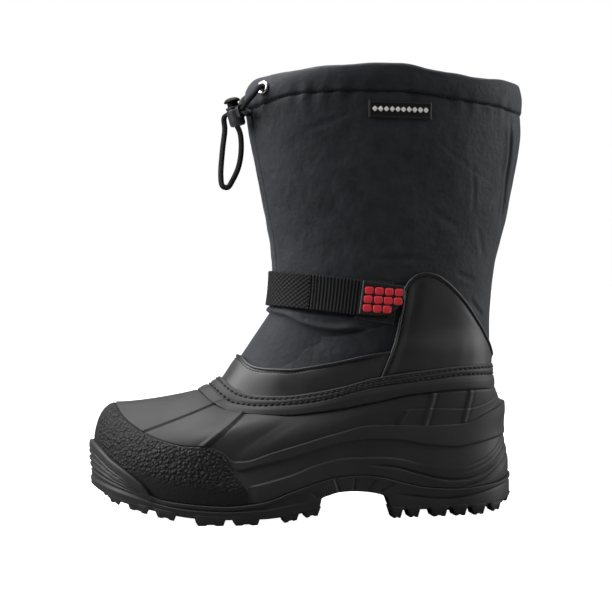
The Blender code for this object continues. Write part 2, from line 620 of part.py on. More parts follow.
def badge():
    """The moulded end tab of the strap, its lower rear corner rounded off."""
    base = STRAP_LOOSE + STRAP_THICKNESS + GAP
    return side_patch("strap_badge", mix(*BADGE_LEFT), lambda t: BADGE_RIGHT_TOP + 0 * t,
                      lambda t: smooth(BADGE_EDGES, t, 1), lambda t: smooth(BADGE_EDGES, t, 2),
                      (base, base + 1.6), (4, 11), "badge_rubber")


# ---------------------------------------------------------------- outsole and insole

def rim_lift(turn):
    """How far the shell's own steps stand out just above the sole."""
    return SHELL_OUTER + CAP_STEP + (SIDE_STEP - CAP_STEP) * ease(52, 58, turn)


def sole_point(angle, inset, height):
    """A point of the sole's outline, some way inside it, at a height that depends on x."""
    plan = last(angle, 0.0)
    along = last(angle + 0.02, 0.0) - last(angle - 0.02, 0.0)
    normal = np.stack([-along[..., 1], along[..., 0], 0 * angle], axis=-1)
    normal /= np.linalg.norm(normal, axis=-1, keepdims=True)
    point = plan - (SOLE_OVERHANG - inset) * normal
    point[..., 2] = height(point[..., 0])
    return point


def outsole():
    """The sole: lugs, arch, stepped side, and the bumper that climbs over the toe."""
    angle = around(extra=(BUMPER_END - 1.0, BUMPER_END))
    turn = folded(angle)
    at_toe = turn < BUMPER_END - 0.5
    feather = last(angle, 0)[:, 2]
    top = np.where(at_toe, smooth(BUMPER_TOP, turn), feather - GAP / 2)
    wall = sole_point(angle, 1.0, lambda x: smooth(SOLE_EDGE_HEIGHT, x) + 1.2)
    edge_z = wall[:, 2]
    bar_low = np.where(at_toe, top - 6, edge_z + 0.4 * (top - edge_z))
    bar_high = np.where(at_toe, top - 5.4, edge_z + 0.7 * (top - edge_z))
    top_level = level_at(angle, lambda x: top, 0, 1)

    def outer(inset, z):
        """The bumper's face stands off the toe cap by its thickness; elsewhere the wall is plain."""
        plain = sole_point(angle, inset, lambda x: 0 * x + z)
        level = level_at(angle, lambda x: z, 0, 1)
        toe = lifted(angle, level, rim_lift(turn) + GAP + BUMPER_REACH - inset)
        toe[:, 2] = z
        climb = ((z - edge_z) / (top - edge_z + 1e-6)).clip(0, 1)
        share = ease(BUMPER_END + 6, BUMPER_END - 4, turn) * climb
        return plain + (toe - plain) * share[:, None]

    rings = [
        sole_point(angle, 3.0, lambda x: smooth(SOLE_BASE_HEIGHT, x)),
        sole_point(angle, 0.4, lambda x: smooth(SOLE_EDGE_HEIGHT, x) - 0.8),
        sole_point(angle, 0.0, lambda x: smooth(SOLE_EDGE_HEIGHT, x) + 0.2),
        wall,
        outer(1.0, bar_low),
        outer(0.2, bar_high),
        outer(0.2, top - 0.6),
        outer(0.9, top)]
    for share in (1.0, 0.75, 0.5, 0.25):
        seat = lifted(angle, top_level * share, rim_lift(turn) + GAP)
        shelf = sole_point(angle, 1.2 + (1 - share), lambda x: 0 * x + top)
        rings.append(np.where(at_toe[:, None], seat, shelf))
    rim = lifted(angle, 0.0, rim_lift(turn) + GAP)
    ledge = np.where(at_toe[:, None], rim, sole_point(angle, 2.6, lambda x: 0 * x + top))
    ledge[:, 2] = feather - GAP / 2
    core = lifted(angle, 0.0, CORE_LIFT)
    core[:, 2] = feather - GAP / 2
    bed = level_at(angle, lambda x: smooth(BED_HEIGHT, x), 0, 1)
    rings += [ledge, core, lifted(angle, bed, CORE_LIFT)]
    count = len(angle)
    faces = tube_faces(len(rings), count, False)
    faces += ladder_faces(0, count) + ladder_faces((len(rings) - 1) * count, count)
    sole = make_mesh("outsole", np.concatenate(rings), faces, "rubber_sole")
    boolean(sole, joined("lugs", all_lugs(), "rubber_sole"), "UNION")
    boolean(sole, prism("arch", [(x, -90, z) for x, z in ARCH], Vector((0, 1, 0)), 180), "DIFFERENCE")
    sole.name = "outsole"
    return sole


def joined(name, pieces, material):
    """Separate closed pieces, each as points and faces, in one mesh."""
    points, faces = [], []
    for piece_points, piece_faces in pieces:
        faces += [tuple(corner + len(points) for corner in face) for face in piece_faces]
        points += list(piece_points)
    return make_mesh(name, points, faces, material)


def block(bottom, top):
    """A six-faced block from four bottom and four top corners."""
    faces = [(3, 2, 1, 0), (4, 5, 6, 7)] + [(i, (i + 1) % 4, (i + 1) % 4 + 4, i + 4) for i in range(4)]
    return list(bottom) + list(top), faces


def edge_lug(start, end, side):
    """A lug at the edge of the sole, tapered towards the floor."""
    floor = float(smooth(LUG_HEIGHT, (start + end) / 2))
    outline = (FEATHER_ENDS[0] - SOLE_OVERHANG, FEATHER_ENDS[1] + SOLE_OVERHANG)
    rings = []
    for taper, bottom in ((LUG_TAPER, floor), (-LUG_FLARE, None)):
        near, far = EDGE_LUG_INSET + (taper + LUG_FLARE) / 2, EDGE_LUG_DEPTH + (taper + LUG_FLARE) / 2
        ring = []
        left, right = start + taper, end - taper
        for x, inset in ((left, near), (right, near), (right, far), (left, far)):
            share = (x - outline[0]) / (outline[1] - outline[0])
            angle = math.acos(1 - 2 * share)
            y = sole_point(np.array(-side * angle), inset, lambda v: 0 * v)[1]
            z = float(smooth(SOLE_BASE_HEIGHT, x)) + LUG_ROOT if bottom is None else bottom
            ring.append((x, y, z))
        rings.append(ring)
    return block(*rings)


def inner_lug(x, y, length, width):
    """A lug in the middle of the sole."""
    rings = []
    for taper, bottom in ((LUG_TAPER, float(smooth(LUG_HEIGHT, x))), (0.0, None)):
        half_x, half_y = length / 2 - taper, width / 2 - taper
        corners = [(x + along * half_x, y + across * half_y) for along, across in SQUARE]
        rings.append([(a, b, float(smooth(SOLE_BASE_HEIGHT, a)) + LUG_ROOT if bottom is None else bottom)
                      for a, b in corners])
    return block(*rings)


def all_lugs():
    """Every lug as points and faces."""
    lugs = [edge_lug(start, end, side) for start, end in EDGE_LUGS for side in (-1, 1)]
    return lugs + [inner_lug(*row) for row in INNER_LUGS]


def insole():
    """The footbed on the sole, cut a little inside the shell."""
    angle = around()
    rings = []
    for lift in (GAP, GAP + 4.0):
        level = level_at(angle, lambda x: smooth(BED_HEIGHT, x) + lift, 0, 1)
        rings.append(lifted(angle, level, CORE_LIFT - 1.0))
    count = len(angle)
    faces = tube_faces(2, count, False) + ladder_faces(0, count) + ladder_faces(count, count)
    return make_mesh("insole", np.concatenate(rings), faces, "insole_felt")


# ---------------------------------------------------------------- eyelets, cord and lock

def eyelet_frame(side):
    """Centre and outward normal of an eyelet on the casing."""
    angle, level = place(np.array([EYELET_X]), np.array([EYELET_Z]), side)
    centre = lifted(angle, level, CASING_STEP + 0.4 + GAP)[0]
    normal = centre - lifted(angle, level, 0.0)[0]
    return Vector(centre), Vector(normal).normalized()


def turned(profile, origin, axis, segments):
    """Rings of a solid of revolution, from radius and height pairs about an axis."""
    side = axis.orthogonal().normalized()
    across = axis.cross(side)
    rings = []
    for radius, height in profile:
        rings.append(np.array([origin + axis * height + (side * math.cos(t) + across * math.sin(t)) * radius
                               for t in (2 * math.pi * k / segments for k in range(segments))]))
    return rings


def eyelets():
    """One pressed ring on each side of the front."""
    profile = [(EYELET_HOLE, 0), (EYELET_OUTER, 0), (EYELET_OUTER - 0.5, 0.8),
               (EYELET_HOLE + 0.9, EYELET_THICKNESS), (EYELET_HOLE, 0.8)]
    for side, label in ((-1, "lateral"), (1, "medial")):
        centre, normal = eyelet_frame(side)
        rings = turned(profile, centre, normal, EYELET_SEGMENTS)
        ring_solid(f"eyelet_{label}", rings, "eyelet_metal")


def lock_frame():
    """Axis, entry direction and crosswise direction of the cord lock."""
    axis = LOCK_TOP_DIRECTION.normalized()
    entry = (LOCK_ENTRY - axis * LOCK_ENTRY.dot(axis)).normalized()
    return axis, entry, axis.cross(entry)


def lock_solid(name, profile):
    """A piece turned about the lock's axis, its first and last profile points closed with flat discs."""
    rings = turned(profile, LOCK_BOTTOM, lock_frame()[0], LOCK_SEGMENTS)
    faces = tube_faces(len(rings), LOCK_SEGMENTS, False)
    last_ring = (len(rings) - 1) * LOCK_SEGMENTS
    faces += [tuple(range(LOCK_SEGMENTS)), tuple(last_ring + k for k in range(LOCK_SEGMENTS))]
    return make_mesh(name, np.concatenate(rings), faces, "lock_plastic")


def slot_cutter(low, high):
    """The cord's way across the lock, between two heights on its axis."""
    axis, entry, across = lock_frame()
    reach = 2.5 * BARREL_RADIUS
    corners = [LOCK_BOTTOM + axis * height + across * side * SLOT_WIDTH / 2 - entry * reach
               for height, side in ((low, -1), (low, 1), (high, 1), (high, -1))]
    return prism("slot", corners, entry, 2 * reach, "lock_plastic")


def cord_lock():
    """The barrel with its bore and cross slot, and the spring plunger that clamps the cord in it."""
    axis, entry, across = lock_frame()
    room = CORD_DIAMETER / 2 + GAP
    slot_low, slot_high = LOWER_CORD - room, UPPER_CORD + room
    barrel = lock_solid("cord_lock_barrel", [
        (BARREL_RADIUS - 1.2, 0), (BARREL_RADIUS - 0.3, 0.9), (BARREL_RADIUS, 4),
        (BARREL_RADIUS, BARREL_LENGTH - 0.8), (BARREL_RADIUS - 0.8, BARREL_LENGTH)])
    middle = LOCK_BOTTOM + axis * (LOWER_CORD + UPPER_CORD) / 2 + entry * BOSS_START
    half_tall, half_wide = (slot_high - slot_low) / 2 + BOSS_WALL, SLOT_WIDTH / 2 + BOSS_WALL
    corners = [middle + axis * tall * half_tall + across * wide * half_wide for tall, wide in EIGHT_SIDES]
    boolean(barrel, prism("boss", corners, entry, BOSS_LENGTH, "lock_plastic"), "UNION")
    bore = lock_solid("bore", [(BORE_RADIUS, BARREL_FLOOR), (BORE_RADIUS, BARREL_LENGTH + 5)])
    boolean(barrel, bore, "DIFFERENCE")
    boolean(barrel, slot_cutter(slot_low, slot_high), "DIFFERENCE")
    barrel.name = "cord_lock_barrel"

    rest = BARREL_FLOOR + PLUNGER_TRAVEL + GAP
    under_cap = BARREL_LENGTH + PLUNGER_TRAVEL + GAP
    plunger = lock_solid("cord_lock_plunger", [
        (PLUNGER_RADIUS, rest), (PLUNGER_RADIUS, under_cap), (CAP_RADIUS - 0.4, under_cap),
        (CAP_RADIUS, under_cap + 0.7), (CAP_RADIUS * 0.8, under_cap + CAP_DOME * 0.72),
        (CAP_RADIUS * 0.42, under_cap + CAP_DOME)])
    boolean(plunger, slot_cutter(slot_low, slot_high + PLUNGER_TRAVEL), "DIFFERENCE")
    plunger.name = "cord_lock_plunger"


def cord_route():
    """Points of the drawcord from the lateral eyelet through the lock, round the loop and back."""
    axis, entry, _ = lock_frame()
    lateral, lateral_normal = eyelet_frame(-1)
    medial, medial_normal = eyelet_frame(1)
    upper_way = LOCK_BOTTOM + axis * UPPER_CORD
    lower_way = LOCK_BOTTOM + axis * LOWER_CORD
    loop = [Vector(p) for p in LOOP_POINTS]
    start = [lateral + lateral_normal * 0.2, lateral + lateral_normal * 3.0]
    into_lock = [Vector(p) for p in LATERAL_POINTS]
    across_lock = [upper_way + entry * 9.8, upper_way + entry * 3, upper_way - entry * 3, upper_way - entry * 7]
    back_across = [lower_way - entry * 7.4, lower_way - entry * 3, lower_way + entry * 3, lower_way + entry * 9.8]
    to_medial = [Vector(p) for p in MEDIAL_POINTS]
    end = [medial + medial_normal * 3.0, medial + medial_normal * 0.2]
    return start + into_lock + across_lock + loop + back_across + to_medial + end


def eased_route(points, spacing):
    """A Catmull-Rom curve through the points, sampled evenly."""
    padded = [points[0] * 2 - points[1]] + points + [points[-1] * 2 - points[-2]]
    dense = []
    for a, b, c, d in zip(padded, padded[1:], padded[2:], padded[3:]):
        knots = [0.0]
        for p, q in ((a, b), (b, c), (c, d)):
            knots.append(knots[-1] + math.sqrt((q - p).length))
        for k in range(12):
            t = knots[1] + (knots[2] - knots[1]) * k / 12
            ab = a.lerp(b, t / knots[1])
            bc = b.lerp(c, (t - knots[1]) / (knots[2] - knots[1]))
            cd = c.lerp(d, (t - knots[2]) / (knots[3] - knots[2]))
            abc = ab.lerp(bc, t / knots[2])
            bcd = bc.lerp(cd, (t - knots[1]) / (knots[3] - knots[1]))
            dense.append(abc.lerp(bcd, (t - knots[1]) / (knots[2] - knots[1])))
    dense.append(points[-1])
    run = np.concatenate([[0], np.cumsum([(q - p).length for p, q in zip(dense, dense[1:])])])
    count = round(run[-1] / spacing)
    coordinates = np.array(dense)
    even = np.linspace(0, run[-1], count + 1)
    return np.stack([np.interp(even, run, coordinates[:, c]) for c in range(3)], axis=-1)


def drawcord():
    """The elastic drawcord as a tube along its route."""
    route = eased_route(cord_route(), CORD_SPACING)
    curve = bpy.data.curves.new("drawcord", "CURVE")
    curve.dimensions = "3D"
    curve.bevel_depth = CORD_DIAMETER / 2 * MM
    curve.bevel_resolution = 1
    curve.use_fill_caps = True
    spline = curve.splines.new("POLY")
    spline.points.add(len(route) - 1)
    for point, place_mm in zip(spline.points, route):
        point.co = (*(float(c) * MM for c in place_mm), 1)
    cord = bpy.data.objects.new("drawcord", curve)
    bpy.context.collection.objects.link(cord)
    dress(cord, "cord")


def build():
    """The whole boot."""
    for leftover in list(bpy.data.objects):
        bpy.data.objects.remove(leftover)
    outsole()
    insole()
    rubber_shell()
    upper()
    leather_vamp()
    leather_quarter()
    flat_patch("loop_pad", (GAP, 1.1), (4, 7), "webbing")
    strap()
    badge()
    flat_patch("woven_label", (GAP, 1.0), (3, 9), "label_satin")
    eyelets()
    cord_lock()
    drawcord()


build()
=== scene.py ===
"""The looks of a left duck boot: an insulated pull-on snow boot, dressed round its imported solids.

Sizes are in millimetres, and make_piece turns them into metres. The toe points to -X, the outer (lateral)
side to -Y and +Z is up. Most pieces lie over one form, last(angle, level): the angle runs round the boot from
0 at the toe over 90 degrees at the outer side to 180 at the heel, and the level climbs from 0 at the feather
line over 1 (cap line), 2 (band), 3 (strip) and 4 (top of the rubber) to 5 (collar).
"""
import math

import bmesh
import bpy
import numpy as np
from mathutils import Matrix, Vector


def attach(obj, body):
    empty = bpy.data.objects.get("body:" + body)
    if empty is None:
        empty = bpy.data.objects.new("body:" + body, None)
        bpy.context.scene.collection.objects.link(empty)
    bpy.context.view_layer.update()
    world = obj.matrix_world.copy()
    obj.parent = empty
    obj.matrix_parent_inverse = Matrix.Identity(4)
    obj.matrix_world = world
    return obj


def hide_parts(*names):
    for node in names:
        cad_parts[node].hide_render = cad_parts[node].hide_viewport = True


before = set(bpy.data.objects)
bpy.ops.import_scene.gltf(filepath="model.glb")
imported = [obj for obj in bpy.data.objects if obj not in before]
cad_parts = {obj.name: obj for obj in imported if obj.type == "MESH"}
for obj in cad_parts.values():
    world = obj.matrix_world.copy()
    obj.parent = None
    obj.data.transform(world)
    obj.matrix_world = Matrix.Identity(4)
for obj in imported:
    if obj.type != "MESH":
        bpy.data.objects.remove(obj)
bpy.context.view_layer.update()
scene = bpy.context.scene

# ------------------------------------------------------------- studio
# A pale painted floor in a white surround, with a tall soft box at the toe's side, one at the heel's side and
# one above. Black rubber and leather show their form in what they mirror.

MM = 0.001


def linear(code):
    """An sRGB hex code as linear red, green, blue and an alpha of 1."""
    shares = [int(code[k:k + 2], 16) / 255 for k in (1, 3, 5)]
    return tuple(c / 12.92 if c <= 0.04045 else ((c + 0.055) / 1.055) ** 2.4 for c in shares) + (1.0,)


def add(tree, kind, **given):
    """Add a node. Small first letters name settings, capital ones inputs, and i0, i1 inputs by place."""
    new = tree.nodes.new("ShaderNode" + kind)
    settings = {k: v for k, v in given.items() if k[0].islower() and not k[1:].isdigit()}
    for key, value in settings.items():
        setattr(new, key, value)
    for key, value in given.items():
        if key in settings:
            continue
        target = new.inputs[int(key[1:])] if key[1:].isdigit() else new.inputs[key.replace("_", " ")]
        if isinstance(value, bpy.types.NodeSocket):
            tree.links.new(value, target)
        else:
            target.default_value = value
    return new


def linked(name, data):
    """A new object in the scene."""
    new = bpy.data.objects.new(name, data)
    scene.collection.objects.link(new)
    return new


def soft_box(name, place, aim, width, height, power):
    """A rectangular light at a place in metres, turned towards a point."""
    lamp = bpy.data.lights.new(name, "AREA")
    lamp.shape = "RECTANGLE"
    lamp.size = width
    lamp.size_y = height
    lamp.energy = power
    box = linked(name, lamp)
    box.location = place
    box.rotation_euler = (Vector(aim) - Vector(place)).to_track_quat("-Z", "Y").to_euler()


scene.view_settings.view_transform = "Standard"
soft_box("toe_side_box", (-1.05, -0.1, 0.82), (-0.03, 0, 0.14), 0.8, 1.2, 24)
soft_box("heel_side_box", (1.1, -0.15, 0.5), (0.1, 0, 0.15), 0.5, 1.3, 11)
soft_box("top_box", (-0.25, 0.15, 1.3), (-0.05, 0, 0.1), 0.9, 0.7, 16)

surround = bpy.data.worlds.new("white_surround")
surround.use_nodes = True
sky = surround.node_tree
sky.nodes.clear()
heading = add(sky, "TexCoord")
split = add(sky, "SeparateXYZ", Vector=heading.outputs["Generated"])
depth = add(sky, "MapRange", Value=split.outputs["Y"], From_Min=-0.7, From_Max=0.8, To_Min=0.05, To_Max=0.5)
seen = add(sky, "LightPath")
share = add(sky, "Mix", data_type="FLOAT", i0=seen.outputs["Is Camera Ray"], i2=depth.outputs["Result"],
            i3=1.0)
glow = add(sky, "Background", Color=(1, 1, 1, 1), Strength=share.outputs[0])
add(sky, "OutputWorld", Surface=glow.outputs["Background"])
scene.world = surround

FLOOR_REACH = 40
floor_corners = [(x * FLOOR_REACH, y * FLOOR_REACH, 0) for x, y in ((-1, -1), (1, -1), (1, 1), (-1, 1))]
floor_mesh = bpy.data.meshes.new("floor")
floor_mesh.from_pydata(floor_corners, [], [(0, 1, 2, 3)])
floor = linked("floor", floor_mesh)
floor_paint = bpy.data.materials.new("floor_matt_paint")
floor_paint.use_nodes = True
paint = floor_paint.node_tree
paint.nodes.clear()
bright = add(paint, "BsdfPrincipled", Base_Color=linear("#d8d8d8"), Roughness=0.9,
             Emission_Color=(1, 1, 1, 1), Emission_Strength=1.0)
shaded = add(paint, "BsdfDiffuse", Color=linear("#777777"))
seen = add(paint, "LightPath")
either = add(paint, "MixShader", i0=seen.outputs["Is Camera Ray"], i1=shaded.outputs[0], i2=bright.outputs[0])
add(paint, "OutputMaterial", Surface=either.outputs[0])
floor_mesh.materials.append(floor_paint)

# The camera looks at the outer side from a little ahead of it, at half the boot's height
CAMERA_DISTANCE = 1050.4
CAMERA_HEIGHT = 165.0
CAMERA_ROUND = math.radians(10)
CAMERA_ASIDE = -5.4
CAMERA_TURN = math.radians(10.12)
CAMERA_DIP = math.radians(0.83)
LENS_LENGTH = 84.53
SENSOR_WIDTH = 36.0
lens = bpy.data.cameras.new("camera")
lens.lens = LENS_LENGTH
lens.sensor_width = SENSOR_WIDTH
camera = linked("camera", lens)
camera.location = ((CAMERA_ASIDE - CAMERA_DISTANCE * math.sin(CAMERA_ROUND)) * MM,
                   -CAMERA_DISTANCE * math.cos(CAMERA_ROUND) * MM, CAMERA_HEIGHT * MM)
camera.rotation_euler = (math.pi / 2 - CAMERA_DIP, 0, -CAMERA_TURN)
scene.camera = camera

# ------------------------------------------------------------- galosh
# The galosh is the waterproof foot of the boot: one wall of soft black rubber, injection moulded with the bed
# of the toe cap, the vamp's ribs, the side's steps, the kick spur and the rim that the upper is sewn to.

FEATHER_ENDS = (-149.8, 142.5)
CAP_ENDS = (-140.5, 137.7)
BAND_ENDS = (-80.0, 133.2)
STRIP_ENDS = (-72.0, 133.0)
TOP_ENDS = (-65.3, 133.0)
COLLAR_ENDS = (-40.0, 157.0)
# In plan: x along the foot, half width before the ends are rounded, middle line
FEATHER_PLAN = [
    (-150, 55, 7.5), (-135, 60, 6.0), (-115, 58.5, 3.5), (-90, 57, 1.2), (-60, 54.8, -0.5),
    (-30, 49.8, -2.5), (0, 43.2, -3.7), (30, 39, -4.2), (60, 38.4, -3.2), (90, 42.5, -1.7),
    (115, 49.5, -0.7), (142, 56, 0)]
CAP_PLAN = [
    (-141, 50, 7.0), (-120, 54, 4.5), (-95, 54.5, 1.5), (-60, 52, -0.5), (-30, 48, -2.0), (0, 44.5, -3.0),
    (30, 42, -3.4), (60, 41.5, -2.6), (90, 43.5, -1.5), (115, 47, -0.6), (138, 50, 0)]
ANKLE_PLAN = [(-80, 43.5, 2.0), (-20, 43.5, 0.0), (30, 43, -1.0), (133, 43.5, 0)]
FOOT_POWERS = (2.4, 2.4)
ANKLE_POWERS = (2.2, 3.0)
# Heights of the lines, seen from the side: x, z
FEATHER_HEIGHT = [
    (-150, 27), (-140, 24.5), (-120, 21.5), (-110, 17.5), (-92, 14.8), (-68, 13.2), (-44, 15.4), (-24, 22),
    (-8, 26.8), (12, 30.8), (28, 31.2), (43, 29.2), (56, 25.6), (76, 21), (99, 19.4), (118, 20.7),
    (134, 23.8), (143, 27.5)]
CAP_HEIGHT = [
    (-140.5, 75.8), (-137.5, 70), (-131, 64), (-121, 58.5), (-108, 54.5), (-94, 52.5), (-82, 53),
    (-72, 49.7), (-62, 42.6), (-55, 43), (-38, 48.3), (-17, 54.2), (7, 60.7), (35, 66.2), (55, 65.9),
    (77, 64.8), (99, 65), (107, 66), (119, 71), (130, 75.5), (138, 79)]
BAND_HEIGHT = [
    (-80, 84.6), (-73, 78.5), (-62, 73.5), (-46, 72.4), (-27, 72.7), (2, 76.3), (33, 82.5), (66, 87.9),
    (103, 90.4), (133, 89.9)]
STRIP_HEIGHT = [
    (-72, 89.7), (-65, 83.5), (-58, 79.3), (-45, 78.4), (-27, 79.7), (-7, 82.5), (34, 92.8), (68, 97),
    (104, 100), (133, 99.5)]
TOP_HEIGHT = [
    (-65.3, 95), (-60, 89.6), (-52, 85.8), (-42, 84.2), (-26, 84.6), (-6, 87.5), (13, 91.4), (38, 97.9),
    (71, 102.4), (105, 105.5), (133, 106)]
COLLAR_HEIGHT = [
    (-40, 314.5), (-30, 315.4), (-5, 318.3), (20, 320.4), (45, 321.6), (55, 321.4), (82, 317.6), (116, 314),
    (157, 313.3)]
# Front and back outline of the shaft: z, x. Then its half width and squareness by its share of the height
SHAFT_FRONT = [
    (95, -65.3), (104, -57.5), (113, -49.5), (121, -42.2), (129.5, -37), (139, -33.3), (146, -30.8),
    (176, -27.7), (194, -29.4), (213, -32.8), (231, -35.8), (258, -41), (279, -45), (295, -47), (305, -46),
    (311, -43.5), (316, -39)]
SHAFT_BACK = [
    (98, 133), (113, 133.5), (126, 133.2), (139, 132.9), (160, 134.7), (177, 137.8), (198, 142.7),
    (222, 149), (252, 155), (282, 158), (300, 158), (313, 156)]
SHAFT_PLAN = [(0.0, 43, 2.25, 2.9), (0.15, 42, 2.2, 2.7), (0.3, 41.5, 2.15, 2.4), (0.5, 43, 2.1, 2.2),
              (0.75, 45, 2.1, 2.15), (1.0, 46.5, 2.1, 2.15)]
# How the wall bulges between two lines: angle in degrees, then handles outward and upward, low and high
WALL_HANDLES = [
    (0, 3.2, 17, 12.5, 3), (30, 2.5, 13, 8, 6), (60, 1.5, 12, 2, 11), (90, 1.0, 10, 0.5, 10),
    (130, 0.8, 15, 0.8, 15), (180, 1.5, 16, 1.0, 16)]
VAMP_HANDLES = [
    (0, -18.5, -0.6, 18, 5.1), (30, -7, 8, 15, 2.5), (60, 0, 9, 4.5, 6), (90, 0.5, 7, 1, 7),
    (130, 0.2, 8, 0.5, 8), (180, -1.5, 2, 0.5, 4)]
TOP_OF_SHELL = 4.0
COLLAR = 5.0


def smooth(table, x, column=1):
    """The table's column at x: a cubic through its rows that never overshoots them, level past the ends."""
    rows = np.asarray(table, float)
    xs, ys = rows[:, 0], rows[:, column]
    step = np.diff(xs)
    slope = np.diff(ys) / step
    left, right = slope[:-1], slope[1:]
    same_way = left * right > 0
    left_weight, right_weight = step[1:] + 2 * step[:-1], 2 * step[1:] + step[:-1]
    blend = left_weight * left + right_weight * right
    mean = (left_weight + right_weight) * left * right / np.where(same_way, blend, 1.0)
    tangent = np.concatenate([slope[:1], np.where(same_way, mean, 0.0), slope[-1:]])
    x = np.clip(np.asarray(x, float), xs[0], xs[-1])
    i = np.clip(np.searchsorted(xs, x, side="right") - 1, 0, len(xs) - 2)
    t = (x - xs[i]) / step[i]
    return ((2 * t**3 - 3 * t**2 + 1) * ys[i] + (t**3 - 2 * t**2 + t) * step[i] * tangent[i]
            + (3 * t**2 - 2 * t**3) * ys[i + 1] + (t**3 - t**2) * step[i] * tangent[i + 1])


def ease(low, high, x):
    """0 up to low, 1 from high on, and a smooth rise between them."""
    t = np.clip((np.asarray(x, float) - low) / (high - low), 0, 1)
    return t * t * (3 - 2 * t)


def folded(angle):
    """The angle from the toe in degrees, the same on the lateral and the medial side."""
    return np.abs((np.degrees(angle) + 180) % 360 - 180)


def between_ends(ends, share):
    """The value at a share of the way from the first end to the second."""
    return ends[0] + (ends[1] - ends[0]) * share


def oval(angle, ends, half, middle, power):
    """x and y of a ring: |u| to the power plus |y/half| to the power is 1, with u from -1 to 1 along x."""
    u = -np.cos(angle)
    x = between_ends(ends, (1 + u) / 2)
    reach = np.maximum(1 - np.abs(u) ** power, 0) ** (1 / power)
    return x, middle(x) - np.sign(np.sin(angle)) * half(x) * reach


def line_ring(angle, ends, plan, height, powers):
    """One of the shell's lines as points round the boot."""
    power = between_ends(powers, (1 - np.cos(angle)) / 2)
    x, y = oval(angle, ends, lambda v: smooth(plan, v, 1), lambda v: smooth(plan, v, 2), power)
    return np.stack([x, y, smooth(height, x)], axis=-1)


def shaft_ring(angle, rise):
    """A ring of the shaft, at a share of the way from the top of the shell to the collar."""
    front_z = between_ends((TOP_HEIGHT[0][1], SHAFT_FRONT[-1][0]), rise)
    back_z = between_ends((TOP_HEIGHT[-1][1], SHAFT_BACK[-1][0]), rise)
    front, back = smooth(SHAFT_FRONT, front_z), smooth(SHAFT_BACK, back_z)
    u = -np.cos(angle)
    power = smooth(SHAFT_PLAN, rise, 2) * (1 - u) / 2 + smooth(SHAFT_PLAN, rise, 3) * (1 + u) / 2
    fade = 1 - ease(0, 0.35, rise)
    x, y = oval(angle, (front, back), lambda v: smooth(SHAFT_PLAN, rise, 1) + 0 * v,
                lambda v: smooth(ANKLE_PLAN, v, 2) * fade, power)
    low = smooth(TOP_HEIGHT, between_ends(TOP_ENDS, (1 + u) / 2))
    high = smooth(COLLAR_HEIGHT, between_ends(COLLAR_ENDS, (1 + u) / 2))
    return np.stack([x, y, low + (high - low) * rise], axis=-1)


def unit(vectors):
    """The vectors, each divided by its own length."""
    return vectors / np.linalg.norm(vectors, axis=-1, keepdims=True)


def outward(angle):
    """The direction away from the boot in plan."""
    return unit(np.stack([-0.45 * np.cos(angle), -np.sin(angle), 0 * angle], axis=-1))


def bent(start, end, angle, handles, share):
    """A cubic from the lower ring to the upper one, with the handles of the table."""
    turn = folded(angle)
    out = outward(angle)
    up = np.array([0.0, 0.0, 1.0])
    first = start + smooth(handles, turn, 1)[..., None] * out + smooth(handles, turn, 2)[..., None] * up
    second = end + smooth(handles, turn, 3)[..., None] * out - smooth(handles, turn, 4)[..., None] * up
    t = share[..., None]
    return (1 - t)**3 * start + 3 * t * (1 - t)**2 * first + 3 * t**2 * (1 - t) * second + t**3 * end


def last(angle, level):
    """The point of the last surface at an angle in radians and a level."""
    angle, level = np.broadcast_arrays(np.asarray(angle, float), np.asarray(level, float))
    feather = line_ring(angle, FEATHER_ENDS, FEATHER_PLAN, FEATHER_HEIGHT, FOOT_POWERS)
    cap = line_ring(angle, CAP_ENDS, CAP_PLAN, CAP_HEIGHT, FOOT_POWERS)
    band = line_ring(angle, BAND_ENDS, ANKLE_PLAN, BAND_HEIGHT, ANKLE_POWERS)
    strip = line_ring(angle, STRIP_ENDS, ANKLE_PLAN, STRIP_HEIGHT, ANKLE_POWERS)
    top = shaft_ring(angle, np.zeros_like(angle))
    shaft = shaft_ring(angle, np.clip(level - TOP_OF_SHELL, 0, 1))
    share = np.clip(level - np.floor(level), 0, 1)
    wall = bent(feather, cap, angle, WALL_HANDLES, np.clip(level, 0, 1))
    vamp = bent(cap, band, angle, VAMP_HANDLES, np.clip(level - 1, 0, 1))
    level, share = level[..., None], share[..., None]
    return np.select([level < 1, level < 2, level < 3, level < 4],
                     [wall, vamp, band + (strip - band) * share, strip + (top - strip) * share], shaft)


def lifted(angle, level, lift):
    """A point above the last surface, along the surface's own normal."""
    angle, level, lift = np.broadcast_arrays(*(np.asarray(v, float) for v in (angle, level, lift)))
    round_step, rise_step = 0.02, 0.03
    along = last(angle + round_step, level) - last(angle - round_step, level)
    upper, lower = np.minimum(level + rise_step, COLLAR), np.maximum(level - rise_step, 0)
    inward = unit(np.cross(last(angle, upper) - last(angle, lower), along))
    return last(angle, level) - lift[..., None] * inward


def level_at(angle, height, lowest, highest):
    """The level between two others at which the surface crosses a line; height gives z from x."""
    low, high = np.full_like(angle, lowest), np.full_like(angle, highest)
    for _ in range(24):
        middle = (low + high) / 2
        point = last(angle, middle)
        below = point[..., 2] < height(point[..., 0])
        low, high = np.where(below, middle, low), np.where(below, high, middle)
    return (low + high) / 2


def line_level(angle, line, lowest, highest):
    """The level, between two others, of a line that a table of x and z gives."""
    return level_at(angle, lambda x: smooth(line, x), lowest, highest)


